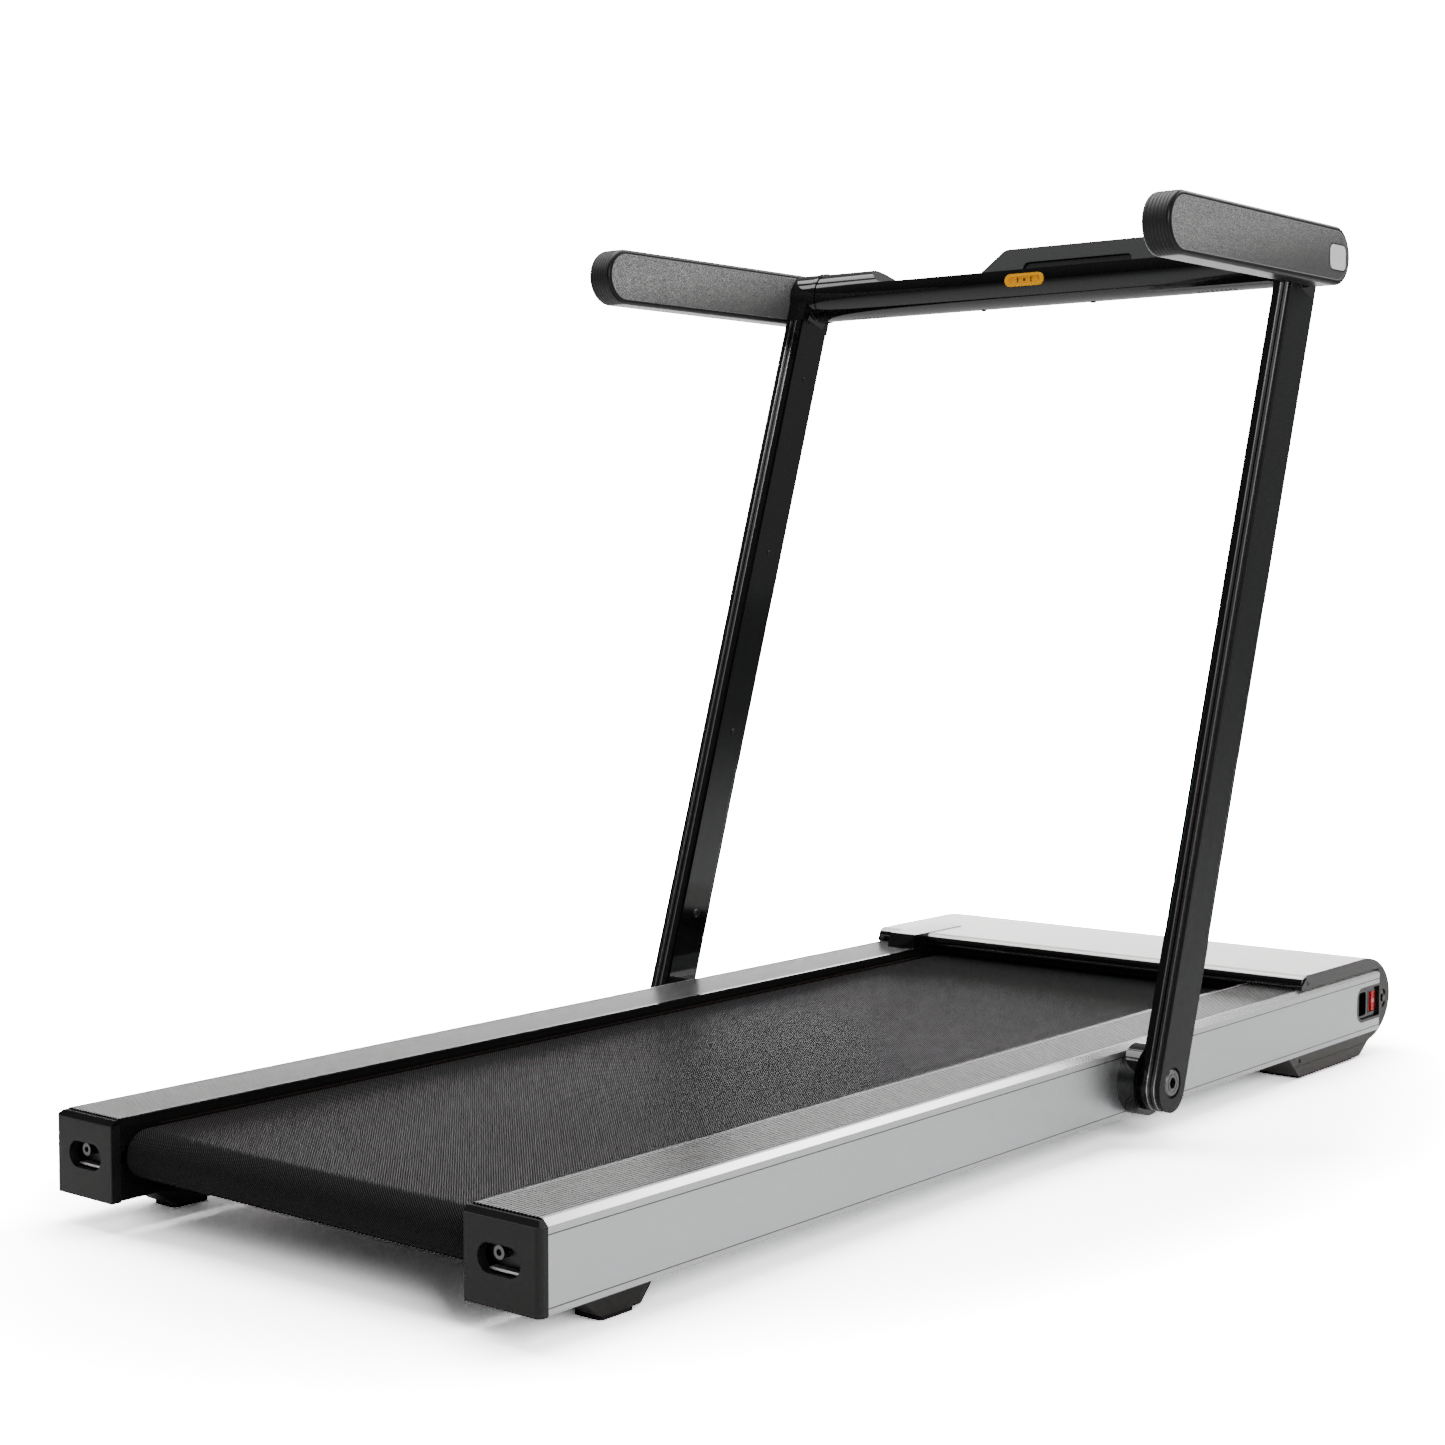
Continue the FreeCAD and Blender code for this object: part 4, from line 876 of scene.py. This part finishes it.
def frame_screw_rows():
    rows = []
    for low, high in separate_discs("frame_screws", DISC_REACH):
        place = [(low[i] + high[i]) / 2 for i in range(3)]
        radius = (high[1] - low[1]) / 2
        if high[0] - low[0] < THIN_DISC:
            rows.append((place, (-1.0 if place[0] > 0 else 1.0, 0.0, 0.0), radius))
        else:
            place[2] = low[2] + 0.3 * MM
            rows.append((place, (0.0, 0.0, -1.0), radius))
    return rows


FRAME_SCREWS = SCREWS.make("post_and_console_screws", screw_seed(frame_screw_rows()), "post_frame")
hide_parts("frame_screws")

# %% [markdown]
# ## Screws on the end caps and the fairings
# Two more screws show on each side of the deck: one where the end cap rises above the rail, and
# one sunk in the foot fairing below it. Both are placed from the boxes of the cap and the rail.

# %% Deck screws
CAP_LOW, CAP_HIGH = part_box("end_cap_right")
CAP_SCREW = (CAP_LOW.y + 17 * MM, RAIL_HIGH.z + 6.5 * MM)
FOOT_SCREW = (CAP_LOW.y - 2 * MM, RAIL_LOW.z - 6.5 * MM)
FOOT_SCREW_SUNK = 3 * MM
deck_rows = []
for side in (-1, 1):
    face = CAP_HIGH.x * side
    deck_rows.append(((face, *CAP_SCREW), (side, 0, 0), 2.6 * MM))
    deck_rows.append(((face - side * FOOT_SCREW_SUNK, *FOOT_SCREW), (side, 0, 0), 2.3 * MM))
SCREWS.make("cover_and_foot_screws", screw_seed(deck_rows), "deck_frame", socket_size=0.42)

# %% [markdown]
# ## Rubber ribs on the handrails
# The rubber band round a handrail's rear end carries fine ribs that follow its curve. One rib is a
# thin tube swept along the band's outline, and a line of points across the band copies it.

# %% Ribs of the rubber bands
RIB_RADIUS = 0.8 * MM
RIB_COUNT = 6
RIB_SPACING = 4 * MM
BAND_SPAN = RIB_SPACING * (RIB_COUNT - 1)


def rib_recipe():
    sizes = {"Rib radius": RIB_RADIUS, "Rib count": RIB_COUNT, "Rib spacing": RIB_SPACING}
    recipe = Recipe("band_ribs", sizes)
    given = recipe.given
    path = recipe.node("GeometryNodeMeshToCurve", {}, {0: given["Geometry"]})
    profile = recipe.node("GeometryNodeCurvePrimitiveCircle", {"mode": "RADIUS"},
                          {"Resolution": 8, "Radius": given["Rib radius"]})
    rib = recipe.node("GeometryNodeCurveToMesh", {},
                      {0: path, "Profile Curve": profile, "Fill Caps": True})
    spacing = recipe.node("ShaderNodeCombineXYZ", {}, {"X": given["Rib spacing"]})
    across = recipe.node("GeometryNodeMeshLine", {},
                         {"Count": given["Rib count"], "Offset": spacing})
    copies = recipe.node("GeometryNodeInstanceOnPoints", {}, {"Points": across, "Instance": rib})
    recipe.close(copies, RUBBER)
    return recipe


RIBS = rib_recipe()
print(RIB_COUNT, "ribs over", round(BAND_SPAN * 1000, 1), "mm")

# %% [markdown]
# ## The ribs' path
# The path is an arc round the handrail's rear end. It lies a little below the rubber's surface,
# so that only the outer part of each rib stands out.

# %% Ribs on both handrails
PATH_RADIUS = GRIP_RADIUS - 0.45 * MM
PATH_STEPS = 32
PATH_SPREAD = math.radians(78)


def band_path(start_x):
    """The arc's corners and edges, at one distance across the band."""
    points = []
    for i in range(PATH_STEPS + 1):
        angle = math.pi - PATH_SPREAD + 2 * PATH_SPREAD * i / PATH_STEPS
        points.append((start_x, GRIP_REAR + PATH_RADIUS * math.cos(angle),
                       GRIP_Z + PATH_RADIUS * math.sin(angle)))
    return seed_points(points, [(i, i + 1) for i in range(PATH_STEPS)])


BAND_MIDDLE = (GRIP_LOW.x + GRIP_HIGH.x) / 2
for side, hand in ((1, "right"), (-1, "left")):
    first = side * BAND_MIDDLE - BAND_SPAN / 2
    RIBS.make("band_ribs_" + hand, band_path(first), "handrail_" + hand)

# %% [markdown]
# ## Tread plugs
# Where the ribbed tread meets the rear cap, the cap closes each groove with a small black plug. A
# row of points one groove apart carries them.

# %% Plugs at the ends of the grooves
GROOVE_PITCH = 4 * MM
GROOVE_WIDE = 1.8 * MM
GROOVE_COUNT = 17
GROOVE_START = RAIL_LOW.x + 4 * MM


def plug_recipe():
    sizes = {"Plug width": GROOVE_WIDE, "Plug length": 2.6 * MM, "Plug height": 1.0 * MM}
    recipe = Recipe("groove_plugs", sizes)
    size = recipe.node("ShaderNodeCombineXYZ", {},
                       {"X": recipe.given["Plug width"], "Y": recipe.given["Plug length"],
                        "Z": recipe.given["Plug height"]})
    plug = recipe.node("GeometryNodeMeshCube", {}, {"Size": size})
    copies = recipe.node("GeometryNodeInstanceOnPoints", {},
                         {"Points": recipe.given["Geometry"], "Instance": plug})
    recipe.close(copies, RUBBER)
    return recipe


plug_points = []
for side in (-1, 1):
    for i in range(GROOVE_COUNT):
        x = side * (GROOVE_START + i * GROOVE_PITCH + GROOVE_WIDE / 2)
        plug_points.append((x, RAIL_LOW.y + 1.3 * MM, RAIL_HIGH.z - 0.45 * MM))
plug_recipe().make("groove_plugs", seed_points(plug_points), "deck_frame")

# %% [markdown]
# ## Touch keys
# The console's window has a row of round touch keys. They are printed rings, so thin flat rings
# just above the glass stand for them.

# %% Rings on the touch window
WINDOW_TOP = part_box("display_panel")[1].z
RING_PLACES = (-150, -122, -94, 94, 122, 150)


def ring_recipe():
    recipe = Recipe("touch_rings", {"Ring radius": 7 * MM, "Line radius": 0.25 * MM})
    path = recipe.node("GeometryNodeCurvePrimitiveCircle", {"mode": "RADIUS"},
                       {"Resolution": 40, "Radius": recipe.given["Ring radius"]})
    profile = recipe.node("GeometryNodeCurvePrimitiveCircle", {"mode": "RADIUS"},
                          {"Resolution": 6, "Radius": recipe.given["Line radius"]})
    ring = recipe.node("GeometryNodeCurveToMesh", {}, {0: path, "Profile Curve": profile})
    copies = recipe.node("GeometryNodeInstanceOnPoints", {},
                         {"Points": recipe.given["Geometry"], "Instance": ring})
    recipe.close(copies, MARK_WHITE)
    return recipe


ring_points = [(x * MM, HANDRAIL_PIVOT[1], WINDOW_TOP) for x in RING_PLACES]
ring_recipe().make("touch_rings", seed_points(ring_points), "post_frame")

# %% [markdown]
# ## Tag, switch marks and key marks
# The last pieces are flat and small, and they are made the same way. Each is an outline given a
# little thickness, and a short function says where the outline's corners lie in space.

# %% Slabs from outlines
def slab(outline, place):
    """Two faces and a rim round an outline; place(u, v, w) gives a corner in space."""
    count = len(outline)
    corners = [place(u, v, w) for w in (0.0, 1.0) for u, v in outline]
    faces = [tuple(range(count))[::-1], tuple(range(count, 2 * count))]
    faces += [(i, (i + 1) % count, count + (i + 1) % count, count + i) for i in range(count)]
    return corners, faces


def rounded_outline(half_wide, half_high, radius, steps=8):
    points = []
    for corner in range(4):
        cu = (half_wide - radius) * (1 if corner in (0, 3) else -1)
        cv = (half_high - radius) * (1 if corner in (0, 1) else -1)
        for i in range(steps + 1):
            angle = math.pi / 2 * (corner + i / steps)
            points.append((cu + radius * math.cos(angle), cv + radius * math.sin(angle)))
    return points


def slabs(name, parts, material, body):
    """Joins several slabs to one piece and turns their faces outwards."""
    corners, faces = [], []
    for part_corners, part_faces in parts:
        start = len(corners)
        corners += part_corners
        faces += [tuple(start + i for i in face) for face in part_faces]
    mesh = bpy.data.meshes.new(name)
    mesh.from_pydata(corners, [], faces)
    form = bmesh.new()
    form.from_mesh(mesh)
    bmesh.ops.recalc_face_normals(form, faces=form.faces)
    form.to_mesh(mesh)
    form.free()
    mesh.materials.append(material)
    return keep(name, mesh, body)


print("slab maker ready")

# %% [markdown]
# ## The blank tag
# A white enamel tag in a black border sits at the front end of the right handrail. The border is
# a wider slab under the tag, so its rim shows all round.

# %% Tag and border
TAG_Y = GRIP_FRONT + 1 * MM
TAG_Z = GRIP_Z - 2 * MM
TAG_FACE = GRIP_HIGH.x - 0.25 * MM


def on_grip(start, thick):
    return lambda u, v, w: (start + thick * w, TAG_Y + u, TAG_Z + v)


border_outline = rounded_outline(20 * MM, 14.5 * MM, 8 * MM)
slabs("tag_border", [slab(border_outline, on_grip(TAG_FACE, 0.25 * MM))],
      GRIP_PLASTIC, "handrail_right")
tag_outline = rounded_outline(18.6 * MM, 13.1 * MM, 7 * MM)
slabs("blank_tag", [slab(tag_outline, on_grip(TAG_FACE + 0.1 * MM, 0.3 * MM))],
      TAG_WHITE, "handrail_right")

# %% [markdown]
# ## Marks on the rocker
# The mains rocker carries a ring on one half and a bar on the other. Its face is folded along the
# middle and tipped about its pin, so the marks are worked out in the rocker's own turned frame.

# %% Rocker marks
ROCKER = record_joint("rocker_tip")
ROCKER_REST = math.radians(-ROCKER["range_deg"][0] / 2)
ROCKER_FACE = 8.9 * MM
ROCKER_SLOPE = 1.4 / 7.6
MARK_OFFSET = 3.8 * MM
MARK_THICK = 0.15 * MM


def on_rocker(offset, slope):
    """A place on one half of the rocker's face, tipped with it."""
    def place(u, v, w):
        across = offset + u
        out = ROCKER_FACE + slope * u + MARK_THICK * w
        x = ROCKER["pos_m"][0] + out * math.cos(ROCKER_REST) - across * math.sin(ROCKER_REST)
        y = ROCKER["pos_m"][1] + out * math.sin(ROCKER_REST) + across * math.cos(ROCKER_REST)
        return (x, y, ROCKER["pos_m"][2] + v)
    return place


ring_outline = rounded_outline(2.0 * MM, 2.4 * MM, 1.99 * MM)
bar_outline = rounded_outline(0.35 * MM, 2.4 * MM, 0.3 * MM)
slabs("rocker_marks", [slab(ring_outline, on_rocker(MARK_OFFSET, ROCKER_SLOPE)),
                       slab(bar_outline, on_rocker(-MARK_OFFSET, -ROCKER_SLOPE))],
      MARK_WHITE, "power_switch")
hollow_outline = rounded_outline(1.3 * MM, 1.7 * MM, 1.29 * MM)


def above_ring(u, v, w):
    x, y, z = on_rocker(MARK_OFFSET, ROCKER_SLOPE)(u, v, w)
    return (x + 0.1 * MM, y, z)


slabs("rocker_mark_middle", [slab(hollow_outline, above_ring)], SWITCH_RED, "power_switch")

# %% [markdown]
# ## Marks in the safety key
# The key has a shallow hollow in its face, with two ticks and a dot in a darker brown on the
# hollow's floor.

# %% Key marks
KEY_LOW, KEY_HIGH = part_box("safety_key")
KEY_FLOOR = KEY_LOW.y + 1.8 * MM
KEY_MIDDLE = (KEY_LOW.z + KEY_HIGH.z) / 2
TICK_OFFSET = 9 * MM


def on_key(x):
    return lambda u, v, w: (x + u, KEY_FLOOR - 0.4 * MM * w, KEY_MIDDLE + v)


tick = rounded_outline(0.9 * MM, 2.6 * MM, 0.8 * MM)
dot = rounded_outline(1.7 * MM, 1.7 * MM, 1.69 * MM)
slabs("key_marks", [slab(tick, on_key(-TICK_OFFSET)), slab(dot, on_key(0.0)),
                    slab(tick, on_key(TICK_OFFSET))], KEY_BROWN, "magnetic_key")

# %% [markdown]
# ## The studio
# Most of the object is black, so the room is kept dim and the light comes from a few soft panels:
# one overhead, one low behind on the left, a strip above the far end that brightens the rail's
# chamfer, a strip on the left and a fill on the right. Glossy parts reflect those panels.

# %% Floor
FLOOR_REACH = 30.0
FLOOR_SEEN = 5.8
FLOOR_FAR = 300.0
FLOOR_SHAPE = 1.7
FADE_START, FADE_END = 0.75, 3.6


def sweep_paper():
    """White paper that is exposed brighter than the light it sends back to the object."""
    paper = bpy.data.materials.new("white paper")
    paper.use_nodes = True
    bench = Bench(paper.node_tree)
    bench.tree.nodes.remove(bench.tree.nodes["Principled BSDF"])
    place = bench.node("ShaderNodeTexCoord", {}, {}, "Object")
    place = bench.node("ShaderNodeVectorMath", {"operation": "MULTIPLY"},
                       {0: place, 1: (FLOOR_SHAPE, 1.0, 1.0)})
    away = bench.node("ShaderNodeVectorMath", {"operation": "LENGTH"}, {0: place}, "Value")
    level = bench.node("ShaderNodeMapRange", {"interpolation_type": "SMOOTHSTEP"},
                       {"Value": away, "From Min": FADE_START, "From Max": FADE_END,
                        "To Min": FLOOR_SEEN, "To Max": FLOOR_FAR})
    seen = bench.node("ShaderNodeBsdfDiffuse", {}, {"Color": level})
    lit = bench.node("ShaderNodeBsdfDiffuse", {}, {"Color": (0.8, 0.8, 0.8, 1.0)})
    to_camera = bench.node("ShaderNodeLightPath", {}, {}, "Is Camera Ray")
    both = bench.node("ShaderNodeMixShader", {}, {0: to_camera, 1: lit, 2: seen})
    bench.feed(both, bench.tree.nodes["Material Output"].inputs["Surface"])
    return paper


def studio_floor():
    mesh = bpy.data.meshes.new("studio_floor")
    turns = ((-1, -1), (1, -1), (1, 1), (-1, 1))
    mesh.from_pydata([(x * FLOOR_REACH, y * FLOOR_REACH, 0) for x, y in turns], [], [(0, 1, 2, 3)])
    floor = bpy.data.objects.new("studio_floor", mesh)
    bpy.context.scene.collection.objects.link(floor)
    mesh.materials.append(sweep_paper())


studio_floor()
print("floor", 2 * FLOOR_REACH, "m wide")

# %% [markdown]
# ## The room
# The world is a dim room seen by the object and a white backdrop seen by the camera. The room is
# brighter overhead and at the far wall, which gives the gloss parts something to reflect.

# %% World
BACKDROP = 20.0
ROOM_LIGHT = 0.03
ZENITH_LIGHT = 0.16
FAR_WALL_LIGHT = 0.40


def studio_world():
    """A dim room that is brighter above and at the far wall, in front of a white backdrop."""
    world = bpy.data.worlds.new("studio_world")
    bpy.context.scene.world = world
    world.use_nodes = True
    bench = Bench(world.node_tree)
    where = bench.node("ShaderNodeTexCoord", {}, {}, "Generated")
    ahead, up = [bench.node("ShaderNodeSeparateXYZ", {}, {0: where}, axis) for axis in ("Y", "Z")]
    room = ROOM_LIGHT + up.larger(0.0) * ZENITH_LIGHT + ahead.larger(0.0) * FAR_WALL_LIGHT
    to_camera = bench.node("ShaderNodeLightPath", {}, {}, "Is Camera Ray")
    strength = bench.node("ShaderNodeMix", {}, {0: to_camera, 2: room, 3: BACKDROP})
    sky = bench.tree.nodes["Background"]
    bench.feed(strength, sky.inputs["Strength"])
    bench.feed((1.0, 1.0, 1.0, 1.0), sky.inputs["Color"])


studio_world()
print("room light", ROOM_LIGHT)

# %% [markdown]
# ## Lamps
# Each lamp is a rectangle of light that faces the object and that the camera doesn't see. Sizes
# and places are in metres and power is in watts.

# %% Soft panels
def soft_light(name, place, aim, width, height, power):
    light = bpy.data.lights.new(name, "AREA")
    light.shape = "RECTANGLE"
    light.size, light.size_y = width, height
    light.energy = power
    lamp = bpy.data.objects.new(name, light)
    bpy.context.scene.collection.objects.link(lamp)
    lamp.location = place
    turn = lamp.location.copy()
    turn.x, turn.y, turn.z = [lamp.location[i] - aim[i] for i in range(3)]
    lamp.rotation_euler = turn.to_track_quat("Z", "Y").to_euler()
    lamp.visible_camera = False


soft_light("overhead", place=(-0.5, 0.5, 3.2), aim=(0, 0, 0), width=2.6, height=2.6, power=120)
soft_light("rear_left_panel", place=(-3.2, 3.4, 0.60), aim=(0, 0, 0.3),
           width=5.0, height=0.6, power=75)
soft_light("top_rear_strip", place=(0.7, 3.1, 2.7), aim=(0.2, 0, 0.2),
           width=3.0, height=1.0, power=55)
soft_light("right_fill", place=(3.0, -1.8, 1.8), aim=(0, 0, 0.4), width=1.6, height=1.6, power=60)
soft_light("left_strip", place=(-2.3, -0.9, 3.0), aim=(0, -0.6, 0.1),
           width=0.8, height=1.6, power=26)
print("lamps", len(bpy.data.lights))

# %% [markdown]
# ## Camera
# The camera stands off the machine's right rear corner, a little above half its height, and looks
# slightly down.

# %% Camera
CAMERA_PLACE = (1.5413, -2.0507, 0.5932)
CAMERA_YAW = 39.33
CAMERA_DOWN = 3.77
SENSOR_WIDE = 36.0
FOCAL_LENGTH = 60.83


def camera():
    lens = bpy.data.cameras.new("camera")
    lens.sensor_width = SENSOR_WIDE
    lens.lens = FOCAL_LENGTH
    eye = bpy.data.objects.new("camera", lens)
    bpy.context.scene.collection.objects.link(eye)
    eye.location = CAMERA_PLACE
    eye.rotation_euler = (math.radians(90 - CAMERA_DOWN), 0.0, math.radians(CAMERA_YAW))
    bpy.context.scene.camera = eye


camera()
print("camera at", CAMERA_PLACE)
